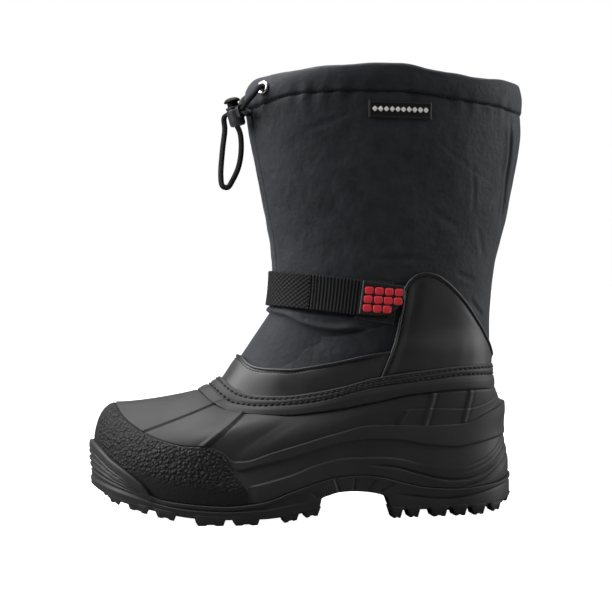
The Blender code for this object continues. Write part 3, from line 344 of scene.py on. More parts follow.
def place(x, z, side=-1):
    """Angle and level of the shaft's point that lies at x and z when the boot is seen from one side."""
    x, z = np.broadcast_arrays(np.asarray(x, float), np.asarray(z, float))
    angle, level = np.full(x.shape, math.pi / 2), np.full(x.shape, 4.5)
    for _ in range(10):
        here = last(angle, level)
        by_angle = (last(angle + 0.01, level) - here) / 0.01
        by_level = (last(angle, level + 0.002) - here) / 0.002
        miss_x, miss_z = x - here[..., 0], z - here[..., 2]
        area = by_angle[..., 0] * by_level[..., 2] - by_angle[..., 2] * by_level[..., 0]
        angle = angle + np.clip((miss_x * by_level[..., 2] - miss_z * by_level[..., 0]) / area, -0.4, 0.4)
        level = level + np.clip((by_angle[..., 0] * miss_z - by_angle[..., 2] * miss_x) / area, -0.3, 0.3)
        angle, level = np.clip(angle, 0.02, math.pi - 0.02), np.clip(level, 4.001, 4.99)
    return (angle if side < 0 else 2 * math.pi - angle), level


def spread(low, high, count, places=(), gain=2.5, width=2.0):
    """Angles in degrees from low to high, closer together round some places: even steps of a weighted run."""
    fine = np.linspace(low, high, 8 * count + 1)
    weight = np.ones(len(fine)) + sum(gain * np.exp(-((fine - place_at) / width) ** 2) for place_at in places)
    run = np.concatenate([[0], np.cumsum((weight[1:] + weight[:-1]) / 2)])
    return np.interp(np.linspace(0, run[-1], count + 1), run, fine)


def spread_round(count, places):
    """Angles in radians once round the boot, the same on both sides, closer together round some places."""
    half = spread(0, 180, count // 2, places)
    return np.radians(np.concatenate([half, 360 - half[-2:0:-1]]))


def grid_faces(rows, columns, round_columns=False):
    """Quads over a grid of points stored row by row; a round grid joins its last column to its first."""
    low, left = np.meshgrid(np.arange(rows - 1), np.arange(columns - (not round_columns)), indexing="ij")
    right = (left + 1) % columns
    high = low + 1
    corners = [low * columns + left, low * columns + right, high * columns + right, high * columns + left]
    return np.stack(corners, axis=-1).reshape(-1, 4)


def closed_faces(rows, columns):
    """Quads over a grid that is round both ways: its last row joins its first, as its columns do."""
    return grid_faces(rows + 1, columns, round_columns=True) % (rows * columns)


def facing_out(points, faces):
    """The faces, turned round as a whole if the volume that they enclose is negative."""
    a, b, c, d = (points[faces[:, k]] for k in range(4))
    volume = (np.einsum("ij,ij->", a, np.cross(b, c)) + np.einsum("ij,ij->", a, np.cross(c, d))) / 6
    return faces if volume > 0 else faces[:, ::-1]


def make_piece(name, points, faces, finish, stands_for=(), body="boot", uv=None, uv_round=0.0):
    """A finished piece from points in millimetres and quads. uv gives each point two lengths in it."""
    points = np.asarray(points, float).reshape(-1, 3)
    faces = facing_out(points, np.asarray(faces))
    tidy = [face if face[2] != face[3] else face[:3] for face in faces.tolist()]
    mesh = bpy.data.meshes.new(name)
    mesh.from_pydata((points * MM).tolist(), [], tidy)
    mesh.shade_smooth()
    if uv is not None:
        corners = np.asarray(uv, float).reshape(-1, 2)[faces]
        if uv_round:
            behind = corners[:, :, 0].max(axis=1, keepdims=True) - corners[:, :, 0] > uv_round / 2
            corners[:, :, 0] += uv_round * behind
        layer = mesh.uv_layers.new(name="along_the_cloth")
        layer.data.foreach_set("uv", corners.astype(np.float32).ravel())
    mesh.materials.append(finish)
    piece = linked(name, mesh)
    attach(piece, body)
    if stands_for:
        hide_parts(*stands_for)
    return piece


def principled(name, colour, roughness, **settings):
    """A new material: its node tree and its shader, set as given."""
    material = bpy.data.materials.new(name)
    material.use_nodes = True
    tree = material.node_tree
    shader = tree.nodes["Principled BSDF"]
    shader.inputs["Base Color"].default_value = linear(colour)
    shader.inputs["Roughness"].default_value = roughness
    for key, value in settings.items():
        shader.inputs[key.replace("_", " ")].default_value = value
    return material, tree, shader


def grain(tree, shader, size, height, detail=2.0, cells=False):
    """Bump of a grain of some size and height in millimetres, on top of what the shader already has."""
    spaced = {"Vector": add(tree, "TexCoord").outputs["Object"], "Scale": 1 / (size * MM)}
    if cells:
        pattern = add(tree, "TexVoronoi", feature="SMOOTH_F1", **spaced)
    else:
        pattern = add(tree, "TexNoise", Detail=detail, **spaced)
    relief(tree, shader, pattern.outputs[0], height)


def relief(tree, shader, pattern, height):
    """Bump from any pattern between 0 and 1, with its height in millimetres."""
    bump = add(tree, "Bump", Strength=1.0, Distance=height * MM, Height=pattern)
    before = shader.inputs["Normal"].links
    if before:
        tree.links.new(before[0].from_socket, bump.inputs["Normal"])
    tree.links.new(bump.outputs["Normal"], shader.inputs["Normal"])


def coloured(tree, shader, value, low, high, dark, light):
    """Base colour that goes from a dark code to a light one as a value goes from low to high."""
    ramp = add(tree, "MapRange", Value=value, From_Min=low, From_Max=high)
    tint = add(tree, "Mix", data_type="RGBA", i0=ramp.outputs[0], i6=linear(dark), i7=linear(light))
    tree.links.new(tint.outputs[2], shader.inputs["Base Color"])


def roughened(tree, shader, value, low, high, first, second):
    """Roughness that goes from a first number to a second as a value goes from low to high."""
    rough = add(tree, "MapRange", Value=value, From_Min=low, From_Max=high, To_Min=first, To_Max=second)
    tree.links.new(rough.outputs[0], shader.inputs["Roughness"])


def mottled(tree, shader, dark, light, size, rough_low, rough_high):
    """Colour and roughness that drift between two values over patches of some size in millimetres."""
    place_on = add(tree, "TexCoord").outputs["Object"]
    drift = add(tree, "TexNoise", Vector=place_on, Scale=1 / (size * MM), Detail=4.0).outputs[0]
    coloured(tree, shader, drift, 0.35, 0.65, dark, light)
    roughened(tree, shader, drift, 0.3, 0.7, rough_low, rough_high)


# Thermoplastic rubber, injection moulded in a fine-blasted mould: a soft satin with a matt bloom in patches
moulded_rubber, tree, shader = principled("moulded_rubber", "#1b1b1d", 0.55, Specular_IOR_Level=0.5)
mottled(tree, shader, "#19191b", "#202022", 38, 0.56, 0.66)
grain(tree, shader, 0.55, 0.02)

# Lifts of the wall's two faces above the form, and how far each part of the moulding stands out from it
SHELL_INNER = 2.1
SHELL_OUTER = 4.3
SIDE_STEP = 1.3
CAP_STEP = 1.0
BAND_STEP = 1.2
STRIP_STEP = 0.4
PANEL_STEPS = (1.3, 0.65)
SPUR_STEP = 2.6
# What one level measures over the band, over the strip and over the shaft
BAND_MM = 7.0
STRIP_MM = 5.6
SHAFT_MM = 212.0
# Levels of the low step and of the rib round the toe, and how the columns lean over the vamp
TOE_LOW = 0.4
TOE_RIB = 0.72
VAMP_LEAN = math.radians(15)
# The steps and grooves of the side, seen from there
RIB_LOW_HEIGHT = [(-62, 36), (-57, 37.2), (-17, 46.7), (7, 53.6), (34, 56.8), (54, 55.7), (77, 51.5),
                  (100, 49), (112, 50.5), (138, 55.5)]
LOW_STEP_HEIGHT = [(-62, 24), (-50, 26.3), (-24, 33), (-4, 40.3), (17, 44.1), (39, 44), (55, 42.4),
                   (75, 37), (95, 33.5), (112, 33), (138, 37)]
HEEL_GROOVE_HEIGHT = [
    (20, 39.5), (34.5, 38.3), (50, 36.8), (71.5, 31), (87.5, 26.9), (96.4, 25.8), (106.6, 25.9),
    (113.8, 27.6), (120.5, 30), (128.8, 34.5), (136.6, 40.5), (142.2, 45.5), (149, 52)]
HEEL_SWEEP_HEIGHT = [(98, 19.4), (110.8, 21.4), (118.7, 23.8), (127.2, 28), (136, 33.6), (142, 38), (149, 44)]
HEEL_BOX_HEIGHT = [
    (53.5, 67), (57.5, 74), (63.2, 78), (78, 78), (108, 76.8), (124, 80.2), (136, 86.5), (141, 91)]
HEEL_BARS = [((80.3, 88.5), (73.3, 63)), ((109, 89.8), (103.5, 66))]
HEEL_BOX_FRONT = ((53.5, 66.5), (61, 77.5))
GROOVE_DEPTH = 1.15
GROOVE_WIDTH = 0.66
ROPE_DEPTH = 0.6
ROPE_WIDTH = 1.8
FINE_PITCH = 3.2
FINE_DEPTH = 0.38
# The vamp's two ribs, and the middle line of the shallow swelling behind them
VAMP_RIBS = [((-125, 62.7), (-75, 81)), ((-85.3, 54.2), (-59.6, 73.8))]
VAMP_HOLLOW = ((-56, 53), (-28, 72))
HOLLOW_FILL = 0.6
HOLLOW_WIDTH = 11
# How far the band's low edge hangs under its line, by x, and the other edges' shifts from theirs
BAND_DROP = [
    (-75, 0.7), (-63, 2.9), (-52, 3.2), (-43, 3.6), (-33, 3.6), (-23, 2.4), (-12, 1.6), (9, 1.2), (26, 1.5),
    (41, 2.0), (64, 1.4), (81, 0)]
STRIP_RISE = 1.8
STRIP_DROP = 0.8
STITCH_ROWS = (2.4, 6.6)
# The toe cap's rear edge: degrees from the toe by its level
CAP_REAR = [(0.0, 70.5), (0.25, 70), (0.5, 67.5), (0.75, 64.5), (1.0, 59.5)]


def shell_angle(angle, level):
    """The galosh's columns lean forward over the vamp, most of all on the sides, as its ribs do."""
    return angle - VAMP_LEAN * np.sin(angle) * np.clip(level - 1, 0, 1)


def rows_at(*values):
    """The values one below another, a row each for a grid of levels."""
    return np.array(values)[:, None]


def tucked_in(turn):
    """How far the rim draws in round the back of the heel."""
    return 1.7 * ease(145, 172, turn)


def step(distance, width=0.45):
    """0 well below, 1 well above, and a rounded step of some half width in millimetres between them."""
    return ease(-width, width, distance)


def ridge(distance, width):
    """1 on a line and falling off to both sides of it, like a bell of some half width."""
    return np.exp(-(distance / width) ** 2)


def stroke(x, z, start, end):
    """Distance from a straight stroke in side view, positive behind it, and the share of the way along it."""
    along = np.subtract(end, start)
    length = np.hypot(*along)
    across = ((x - start[0]) * along[1] - (z - start[1]) * along[0]) / length
    share = ((x - start[0]) * along[0] + (z - start[1]) * along[1]) / length ** 2
    return across, share


def knotted(knots, offsets, fills):
    """Rows of levels: at every knot its own offsets, and between two knots a number of even rows."""
    rows = []
    for k, (knot, near) in enumerate(zip(knots, offsets)):
        rows += [knot + shift for shift in near]
        if k + 1 < len(knots):
            end = knots[k + 1] + offsets[k + 1][0]
            rows += [rows[-1] + (end - rows[-1]) * share for share in np.linspace(0, 1, fills[k] + 2)[1:-1]]
    return np.stack(np.broadcast_arrays(*rows))


angle = spread_round(560, (28.5, 54, 64))
turn = folded(angle)
feather, cap, band = (last(angle, level) for level in (0.0, 1.0, 2.0))
wall_mm = np.linalg.norm(cap - feather, axis=1)
vamp_mm = np.linalg.norm(band - cap, axis=1)
on_side = ease(54, 60, turn)
low = TOE_LOW + (line_level(angle, LOW_STEP_HEIGHT, 0, 1) - TOE_LOW) * on_side
rib = TOE_RIB + (line_level(angle, RIB_LOW_HEIGHT, 0, 1) - TOE_RIB) * on_side
groove = np.minimum(line_level(angle, HEEL_GROOVE_HEIGHT, 0, 1), 0.86 * low)
groove = 0.5 * low + (groove - 0.5 * low) * ease(70, 92, turn)
drop = smooth(BAND_DROP, band[:, 0])
# Rows close to each line, so that its step is sharp: their distances from it in millimetres
near_wall = [rows_at(-0.7, -0.25, 0.25, 0.7) / wall_mm] * 5
near_wall[0] = rows_at(0.0, 0.35, 0.8) / wall_mm
near_wall[4] = np.concatenate([rows_at(-0.9, -0.3, 0.1) / wall_mm, rows_at(0.45, 0.8) / vamp_mm])
near_band = rows_at(-1.1, -0.75, -0.45, -0.15, 0.2, 0.6) / vamp_mm
near_strip = rows_at(-0.6, -0.2, 0.2, 0.6) / BAND_MM
near_edge = rows_at(-1.5, -0.9, -0.4, -0.1, 0.0) / SHAFT_MM
levels = knotted(
    [0, groove, low, rib, 1, 2 - drop / vamp_mm, 3 - STRIP_DROP / BAND_MM, 4 + STRIP_RISE / SHAFT_MM],
    near_wall + [near_band, near_strip, near_edge], (12, 12, 24, 10, 42, 8, 8))
columns = shell_angle(angle, levels)
flat = last(columns, levels)
x, z = flat[..., 0], flat[..., 2]
surface = lifted(columns, levels, SHELL_OUTER + 1.2)
seen_x, seen_z = surface[..., 0], surface[..., 2]

# The side: two ribs with a recess between them that opens out over the heel, and grooves under it
above_low = (levels - low) * wall_mm
above_rib = (levels - rib) * wall_mm
above_groove = (seen_z - smooth(HEEL_GROOVE_HEIGHT, seen_x)) * 0.85
above_sweep = (seen_z - smooth(HEEL_SWEEP_HEIGHT, seen_x)) * 0.85
below_cap = (1 - levels) * wall_mm
behind_cap = ease(0, 1.4, turn - smooth(CAP_REAR, np.clip(levels, 0, 1)) - 0.8)
share_up = np.clip((levels - low) / (rib - low), 0, 1)
low_depth = (SIDE_STEP + 0.1) * (1 - ease(38, 82, x))
recess = (low_depth + (SIDE_STEP + 0.1 - low_depth) * share_up) * step(above_low) * (1 - step(above_rib))
wall = SHELL_OUTER + CAP_STEP + (SIDE_STEP - CAP_STEP) * on_side - recess * behind_cap
roped = ease(96, 122, seen_x)
for above, rope, start, end in ((above_groove, roped, 30, 46), (above_sweep, 1, 100, 114)):
    cut = GROOVE_DEPTH * ridge(above, GROOVE_WIDTH) + ROPE_DEPTH * rope * ridge(above, ROPE_WIDTH)
    wall -= cut * ease(start, end, seen_x)
wall -= 0.9 * (1 - behind_cap)
fine = FINE_DEPTH * (np.cos(2 * np.pi * above_groove / FINE_PITCH) - 1) * ease(1.0, 2.4, above_groove)
wall += fine * (1 - ease(7, 10.5, above_groove)) * ease(98, 124, seen_x)
wall -= 0.5 * ridge(levels * wall_mm, 0.7)
wall += SPUR_STEP * ease(137, 172, turn) * ease(0.62, 0.93, levels)

# The vamp: a centre panel and a second one a step lower, then a rib with a groove behind it
ahead, second = (stroke(seen_x, seen_z, *ends)[0] for ends in VAMP_RIBS)
panel = PANEL_STEPS[1] + (PANEL_STEPS[0] - PANEL_STEPS[1]) * (1 - step(ahead, 0.5))
panel = panel * (1 - step(second - 1.5, 0.5)) - 0.5 * ridge(ahead - 0.5, 0.5) * (levels > 1)
vamp = SHELL_OUTER + panel + 0.9 * ease(-2.2, 0.6, second) * (1 - step(second - 1.4, 0.55))
vamp -= 0.5 * ridge(second - 2.2, 0.6)
beside, along = stroke(seen_x, seen_z, *VAMP_HOLLOW)
vamp += HOLLOW_FILL * ridge(beside, HOLLOW_WIDTH) * ease(-0.5, 0.4, along) * (1 - ease(0.6, 1.3, along))

# The heel's box: a low step with a groove round it, two upright bars on it and a short rib at its front
box_x = np.clip(x, HEEL_BOX_HEIGHT[0][0], HEEL_BOX_HEIGHT[-1][0])
above_box = z - smooth(HEEL_BOX_HEIGHT, box_x)
vamp += (0.45 * (1 - step(above_box, 0.35)) - 0.3 * ridge(above_box - 0.3, 0.35)) * ease(52, 54, x)
for ends in HEEL_BARS:
    across, along = stroke(x, z, *ends)
    on_bar = ease(-0.02, 0.02, along) * (1 - ease(0.96, 1.0, along))
    vamp += (0.9 * np.exp(-(across / 1.7) ** 4) - 0.4 * ridge(across + 2.8, 0.8)) * on_bar
across, along = stroke(x, z, *HEEL_BOX_FRONT)
vamp += 0.9 * ridge(across, 1.1) * ease(0.0, 0.1, along) * (1 - ease(0.9, 1.0, along))

# The band and the strip that carries the two rows of stitches
over_band = (levels - 2) * np.where(levels > 2, BAND_MM, vamp_mm) + drop
over_strip = (levels - 3) * np.where(levels > 3, STRIP_MM, BAND_MM) + STRIP_DROP
under_top = (4 - levels) * np.where(levels > 4, SHAFT_MM, STRIP_MM) + STRIP_RISE
vamp -= 0.75 * ridge(over_band + 0.6, 0.55)
rim = SHELL_OUTER - tucked_in(turn)
band_lift = rim + BAND_STEP + 0.3 * (1 - step(ahead, 1.0)) - 0.25 * ridge(over_band - 0.9, 0.4)
band_lift -= 0.5 * ease(-2.4, -0.3, over_strip)
strip_lift = rim + STRIP_STEP * (under_top / STRIP_MM) - 0.35 * ridge(over_strip - 0.7, 0.6)
strip_lift -= 0.7 * sum(ridge(under_top - row, 1.05) for row in STITCH_ROWS)
lift = wall + (vamp - wall) * step(-below_cap - 0.2, 0.5)
lift = lift + (band_lift - lift) * step(over_band)
lift = lift + (strip_lift - lift) * step(over_strip, 0.6)
lift -= 1.0 * (1 - ease(0.0, 1.0, under_top))
outer = lifted(columns, levels, lift)

# The inside of the wall, from the rim down to the feather line
inner_levels = rows_at(4.0, 3.0, 2.0, 1.6, 1.25, 0.95, 0.6, 0.3, 0.0)
inner = lifted(shell_angle(angle, inner_levels), inner_levels, SHELL_INNER)
outer[0, :, 2] = inner[-1, :, 2] = feather[:, 2]
galosh = np.concatenate([outer, inner])
make_piece("galosh", galosh, closed_faces(len(galosh), len(angle)), moulded_rubber, ("rubber_shell",))

# ------------------------------------------------------------ toe cap
# The toe cap belongs to the galosh's moulding. Its mould is etched with a coarse worm-like grain that hides
# scuffs; the grain is full at the vamp's edge and runs out just above the sole.


def waves(points, size, seed, count=60):
    """A random field between about -1 and 1: the mean of many plane waves of one length, at random turns."""
    draw = np.random.default_rng(seed)
    ways = draw.normal(size=(count, 3))
    ways *= 2 * np.pi / size / np.linalg.norm(ways, axis=1, keepdims=True)
    starts = draw.uniform(0, 2 * np.pi, count)
    total = sum(np.cos(points @ way + start) for way, start in zip(ways, starts))
    return total * math.sqrt(1 / count)


def rounded(distance, radius):
    """How far a rounded edge has risen at a distance from it: a quarter circle from 0 to 1."""
    return np.sqrt(1 - (1 - np.clip(distance / radius, 0, 1)) ** 2)


def plate_faces(rows, columns):
    """Quads of a closed plate: an outer grid, an inner one stored after it, and the edges between them."""
    outside = grid_faces(rows, columns)
    number = np.arange(rows * columns).reshape(rows, columns)
    rim = np.concatenate([number[0, :-1], number[:-1, -1], number[-1, :0:-1], number[:0:-1, 0]])
    after = np.roll(rim, -1)
    edges = np.stack([rim, rim + number.size, after + number.size, after], axis=-1)
    return np.concatenate([outside, outside[:, ::-1] + number.size, edges])


CAP_SHAPE = (64, 440)
CAP_GRAIN = 3.0
CAP_GRAIN_HEIGHT = 0.07
CAP_LOW = 0.02
CAP_HIGH = 1.005
PEBBLE_SIZE = 2.1
PEBBLE_STRAY = 0.9
PEBBLE_HEIGHT = 0.9
MM_PER_DEGREE = 1.9

# The same rubber from the etched part of the mould: a little glossier on its worn tops, with painted shade in
# the gaps between them
etched_rubber, tree, shader = principled("etched_rubber", "#161618", 0.52, Specular_IOR_Level=0.32)
place_on = add(tree, "TexCoord").outputs["Object"]
wander = add(tree, "TexNoise", Vector=place_on, Scale=1 / (2.6 * MM), Detail=1.0)
strayed = add(tree, "VectorMath", operation="MULTIPLY_ADD", i0=wander.outputs["Color"],
              i1=(PEBBLE_STRAY * MM,) * 3, i2=place_on)
pebbles = add(tree, "TexVoronoi", feature="SMOOTH_F1", Vector=strayed.outputs[0],
              Scale=1 / (PEBBLE_SIZE * MM), Smoothness=0.2)
fine_pits = add(tree, "TexNoise", Vector=place_on, Scale=1 / (0.9 * MM), Detail=2.0)
domes = add(tree, "Math", operation="MULTIPLY_ADD", i0=pebbles.outputs[0], i1=-1.0, i2=1.0)
both = add(tree, "Math", operation="MULTIPLY_ADD", i0=fine_pits.outputs[0], i1=-0.3, i2=domes.outputs[0])
kept_here = add(tree, "SeparateXYZ", Vector=add(tree, "UVMap", uv_map="along_the_cloth").outputs["UV"])
etched = add(tree, "Math", operation="MULTIPLY", i0=both.outputs[0], i1=kept_here.outputs["X"])
relief(tree, shader, etched.outputs[0], PEBBLE_HEIGHT)
# Painted shade: the base colour goes near black in the gaps between the pebbles and lighter on their tops,
# which are also a little glossier
worn_tops_and_pit_shade = add(tree, "MapRange", Value=both.outputs[0], From_Min=0.3, From_Max=0.72)
painted_pit_shade = add(tree, "Mix", data_type="RGBA", i0=worn_tops_and_pit_shade.outputs[0], i6=linear("#040405"), i7=linear("#1a1a1d"))
tint = add(tree, "Mix", data_type="RGBA", i0=kept_here.outputs["X"], i6=linear("#0e0e10"), i7=painted_pit_shade.outputs[2])
tree.links.new(tint.outputs[2], shader.inputs["Base Color"])
roughened(tree, shader, worn_tops_and_pit_shade.outputs[0], 0.0, 1.0, 0.68, 0.46)

rise, across = np.meshgrid(np.linspace(0, 1, CAP_SHAPE[0]), np.linspace(-1, 1, CAP_SHAPE[1]), indexing="ij")
level = CAP_LOW + 0.985 * rise
rear = smooth(CAP_REAR, level)
angle = np.radians(across * rear)
tall = np.linalg.norm(last(angle[-1], 1.0) - last(angle[-1], 0.0), axis=1)
from_top = (CAP_HIGH - level) * tall
from_rear = (1 - np.abs(across)) * rear * MM_PER_DEGREE
edge = rounded(from_top, 1.1) * rounded(from_rear, 1.3)
# The grain is kept whole but for narrow plain borders and the lowest part, which runs into the sole
kept = ease(0.6, 2.2, from_top) * ease(0.8, 3.2, from_rear) * ease(6.5, 15, (level - CAP_LOW) * tall)
kept = np.maximum(kept, 0.12)
dapple = CAP_GRAIN_HEIGHT * waves(last(angle, level), CAP_GRAIN, 4)
lift = SHELL_OUTER - 0.5 + (CAP_STEP + 0.5) * edge + dapple * kept * ease(0, 1.2, from_top)
points = np.stack([lifted(angle, level, lift), lifted(angle, level, SHELL_OUTER - 1.1)])
etch = np.stack([kept, from_top], axis=-1)
make_piece("toe_cap", points, plate_faces(*CAP_SHAPE), etched_rubber,
           uv=np.stack([etch, etch]))

# ------------------------------------------------------------ outsole
# The sole is moulded from harder rubber and fused to the galosh: a stepped side with a bead along each edge,
# an arch under the waist, and a ribbed bumper that climbs over the toe.

SOLE_OVERHANG = 7.0
# Seen from the side: the underside, the lower edge of the wall, the lugs' feet and the bed inside the boot
SOLE_BASE_HEIGHT = [
    (-157, 24), (-150, 20), (-142, 16.2), (-132, 13), (-116, 9.4), (-92, 5.2), (-68, 3.9), (-45, 3.9),
    (-25, 5.4), (-3, 8.6), (25, 8.5), (50, 5.6), (125, 5.4), (140, 8), (151, 13)]
SOLE_EDGE_HEIGHT = [
    (-157, 27.5), (-150, 25), (-132, 19), (-114, 13.5), (-92, 9.8), (-68, 8.6), (-44, 9.2), (-24, 12),
    (-3, 15.2), (25, 19), (50, 16.6), (64.6, 15.2), (78.8, 13.2), (93, 12.3), (104.8, 13.2), (116.9, 15),
    (124.5, 16.8), (134, 19.2), (142, 21.2), (151, 23.5)]
LUG_HEIGHT = [
    (-157, 22.9), (-145, 13.5), (-136, 11), (-122, 7.2), (-105, 3.5), (-90, 0), (-47, 0), (-28, 0.9),
    (-17, 2.8), (-2, 4.6), (50, 0), (112, 0), (125, 1.2), (137, 3.5), (151, 8.5)]
BED_HEIGHT = [
    (-150, 34), (-120, 27), (-90, 21.5), (-60, 20), (-30, 26), (0, 33), (40, 37), (80, 34), (142, 34)]
# The bumper: the height of its top by the angle from the toe, and the bar round its ribbed window
BUMPER_TOP = [
    (0, 54.5), (6, 53.4), (13, 49.6), (20, 43.8), (28, 37), (34, 30.4), (37, 26), (39.5, 20), (40.5, 16)]
BUMPER_END = 40.5
BUMPER_REACH = 3.3
BUMPER_BAR = 5.8
BUMPER_RIBS = 4
BUMPER_RIB_FOOT = 2.2
BUMPER_RIB_DEPTH = 2.0
# The arch under the waist, and the slanting grooves over it
ARCH = [(-4, 5), (-2.5, 15.4), (4, 18.2), (12, 20), (20, 20.3), (30, 19.6), (40, 17.8), (47, 14.6), (50, 5)]
ARCH_STROKES = [((-9, 21.6), (-4.5, 18)), ((8.3, 29.6), (11.4, 20.5)), ((23.2, 28.9), (22, 21.5)),
                ((37.6, 27.2), (31.5, 20.3)), ((51, 24.8), (41, 18.8))]
MEDIAL_ARCH = 16.0


def sole_point(angle, inset, height):
    """A point of the sole's outline, some way inside it, at a height that depends on x."""
    along = last(angle + 0.02, 0.0) - last(angle - 0.02, 0.0)
    inward = unit(np.stack([-along[..., 1], along[..., 0], 0 * along[..., 0]], axis=-1))
    point = last(angle, 0.0) - (SOLE_OVERHANG - np.asarray(inset, float))[..., None] * inward
    point[..., 2] = height(point[..., 0])
    return point


def filled(ring, start, after, steps, height, under):
    """Points and faces that close a ring: rings shrunk in even steps, then its own middle line.

    Their z comes from height(x, y). start and after number the ring's first point and the first new one.
    """
    count = len(ring)
    mirror = -np.arange(count) % count
    middle = (ring + ring[mirror]) / 2
    rings, faces = [], []
    before = start + np.arange(count)
    for number in range(1, steps + 1):
        if number < steps:
            rings.append(middle + (ring - middle) * (1 - number / steps))
            now = after + np.arange(count)
        else:
            rings.append(middle[:count // 2 + 1])
            now = after + np.minimum(np.arange(count), mirror)
        rings[-1][:, 2] = height(rings[-1][:, 0], rings[-1][:, 1])
        quads = np.stack([before, np.roll(before, -1), np.roll(now, -1), now], axis=-1)
        faces.append(quads[:, ::-1] if under else quads)
        after += len(rings[-1])
        before = now
    return np.concatenate(rings), np.concatenate(faces)


# Harder rubber from a blasted mould: matt, with a faint bloom where it was peeled out
sole_rubber, tree, shader = principled("tread_rubber", "#171718", 0.52, Specular_IOR_Level=0.45)
mottled(tree, shader, "#161617", "#1c1c1d", 30, 0.48, 0.6)
grain(tree, shader, 0.6, 0.03)


def arch_height(x, y):
    """The arch under the waist, which ends further back on the inner side and in the middle than outside."""
    back = x - MEDIAL_ARCH * ease(30, 66, x) * ease(-36, -12, y)
    return np.where((back > ARCH[0][0]) & (back < ARCH[-1][0]), smooth(ARCH, back), 0)


def base_height(x, y):
    """The underside of the sole, with the arch."""
    return np.maximum(smooth(SOLE_BASE_HEIGHT, x), arch_height(x, y))


angle = spread_round(560, (38, 95, 101, 107))
turn = folded(angle)
feather = last(angle, 0.0)[:, 2]
outline_x, outline_y = sole_point(angle, 1.0, lambda v: 0 * v)[:, :2].T
top = np.where(turn < BUMPER_END, np.maximum(smooth(BUMPER_TOP, turn), feather), feather)
low_edge = np.maximum(smooth(SOLE_EDGE_HEIGHT, outline_x), arch_height(outline_x, outline_y) + 0.5)
rise = np.concatenate([[-0.12, 0.0, 0.05, 0.1], np.linspace(0.14, 0.91, 38), [0.93, 0.955, 0.975, 0.99, 1.0]])
z = low_edge + (top - low_edge) * rise[:, None]
z[0] = low_edge - 0.9
from_low, from_top = z - low_edge, top - z

# The side of the sole: a bead along each edge ahead of the waist, steps at the heel, strokes over the arch
ahead_of_waist = 1 - ease(-24, -6, outline_x)
bead_low = ridge(from_low - 0.2, 0.9) * ahead_of_waist
bead_top = ease(3.2, 2.4, from_top) * ahead_of_waist
side_inset = 0.2 + 0.9 * ahead_of_waist - 1.1 * bead_low - 0.9 * bead_top + 0.9 * (1 - rounded(from_top, 0.9))
side_inset += 0.9 * ridge(from_low - 0.4, 0.75) * ease(50, 66, outline_x)
at_heel = ease(146, 160, turn)
side_inset -= 0.4 * at_heel * np.sin(np.pi * np.clip(from_low / (from_low + from_top) * 3, 0, 3)) ** 2
for ends in ARCH_STROKES:
    across, along = stroke(outline_x, z, *ends)
    side_inset += 0.9 * ridge(across, 0.75) * ease(-0.1, 0.08, along) * (1 - ease(0.92, 1.1, along))
side_inset = side_inset - 2.6 * ease(44, 25, turn)
plain = sole_point(angle, side_inset, lambda v: z)

# The bumper: a bar round a sunk window, and ribs across the window that follow the bar's sweep
from_outline = np.minimum(from_top, (BUMPER_END - turn) * 2.1)
window = ease(BUMPER_BAR - 0.5, BUMPER_BAR + 0.5, from_outline)
ribbed = np.maximum(from_low + from_top - BUMPER_RIB_FOOT - BUMPER_BAR, 4.0)
phase = (from_low - BUMPER_RIB_FOOT) / ribbed * BUMPER_RIBS % 1
ribs = ease(0.0, 0.45, phase) * (1 - ease(0.8, 1.0, phase)) * ease(2.0, 2.8, from_low)
toe_inset = 2.1 * window - BUMPER_RIB_DEPTH * ribs * window + 1.1 * (1 - rounded(from_outline, 1.3))
toe_inset -= 0.9 * bead_low * window
wall_level = level_at(angle + 0 * z, lambda v: z, 0, 1)
rim_lift = SHELL_OUTER + CAP_STEP + (SIDE_STEP - CAP_STEP) * ease(52, 58, turn)
toe = lifted(angle, wall_level, rim_lift + BUMPER_REACH - toe_inset)
toe[..., 2] = z
climb = np.clip(from_low / (from_low + from_top + 1e-6), 0, 1)
share_toe = ease(BUMPER_END + 4, BUMPER_END - 5, turn) * ease(0, 0.5, climb)
wall = plain + (toe - plain) * share_toe[..., None]

# The foot of the wall, the underside, the seat in the galosh and the bed inside it
base_inset = 0.3 - 2.2 * ease(44, 25, turn)
base_z = base_height(outline_x, outline_y)
base = sole_point(angle, base_inset + 0.8, lambda v: base_z)
foot_z = base_z + 0.5 + np.maximum(z[0] - base_z - 0.5, 0.05) * rows_at(0.0, 0.12, 0.88)
foot = sole_point(angle, base_inset + 0 * foot_z, lambda v: foot_z)
seats = lifted(angle, level_at(angle, lambda v: top, 0, 1) * rows_at(1.0, 0.5, 0.0), SHELL_OUTER - 0.6)
bed = lifted(angle, line_level(angle, BED_HEIGHT, 0, 1), 1.5)
rings = np.concatenate([base[None], foot, wall[1:], seats, bed[None]])
count = len(angle)
total = len(rings) * count
under = filled(base, 0, total, 8, base_height, True)
above = filled(bed, total - count, total + len(under[0]), 4, lambda x, y: smooth(BED_HEIGHT, x), False)
make_piece("sole_side", np.concatenate([rings.reshape(-1, 3), under[0], above[0]]),
           np.concatenate([grid_faces(len(rings), count, round_columns=True), under[1], above[1]]),
           sole_rubber, ("outsole",))

# --------------------------------------------------------------- lugs
# The lugs are moulded with the sole. Each narrows towards the floor and has a shallow notch across its foot,
# so that it bites on snow.

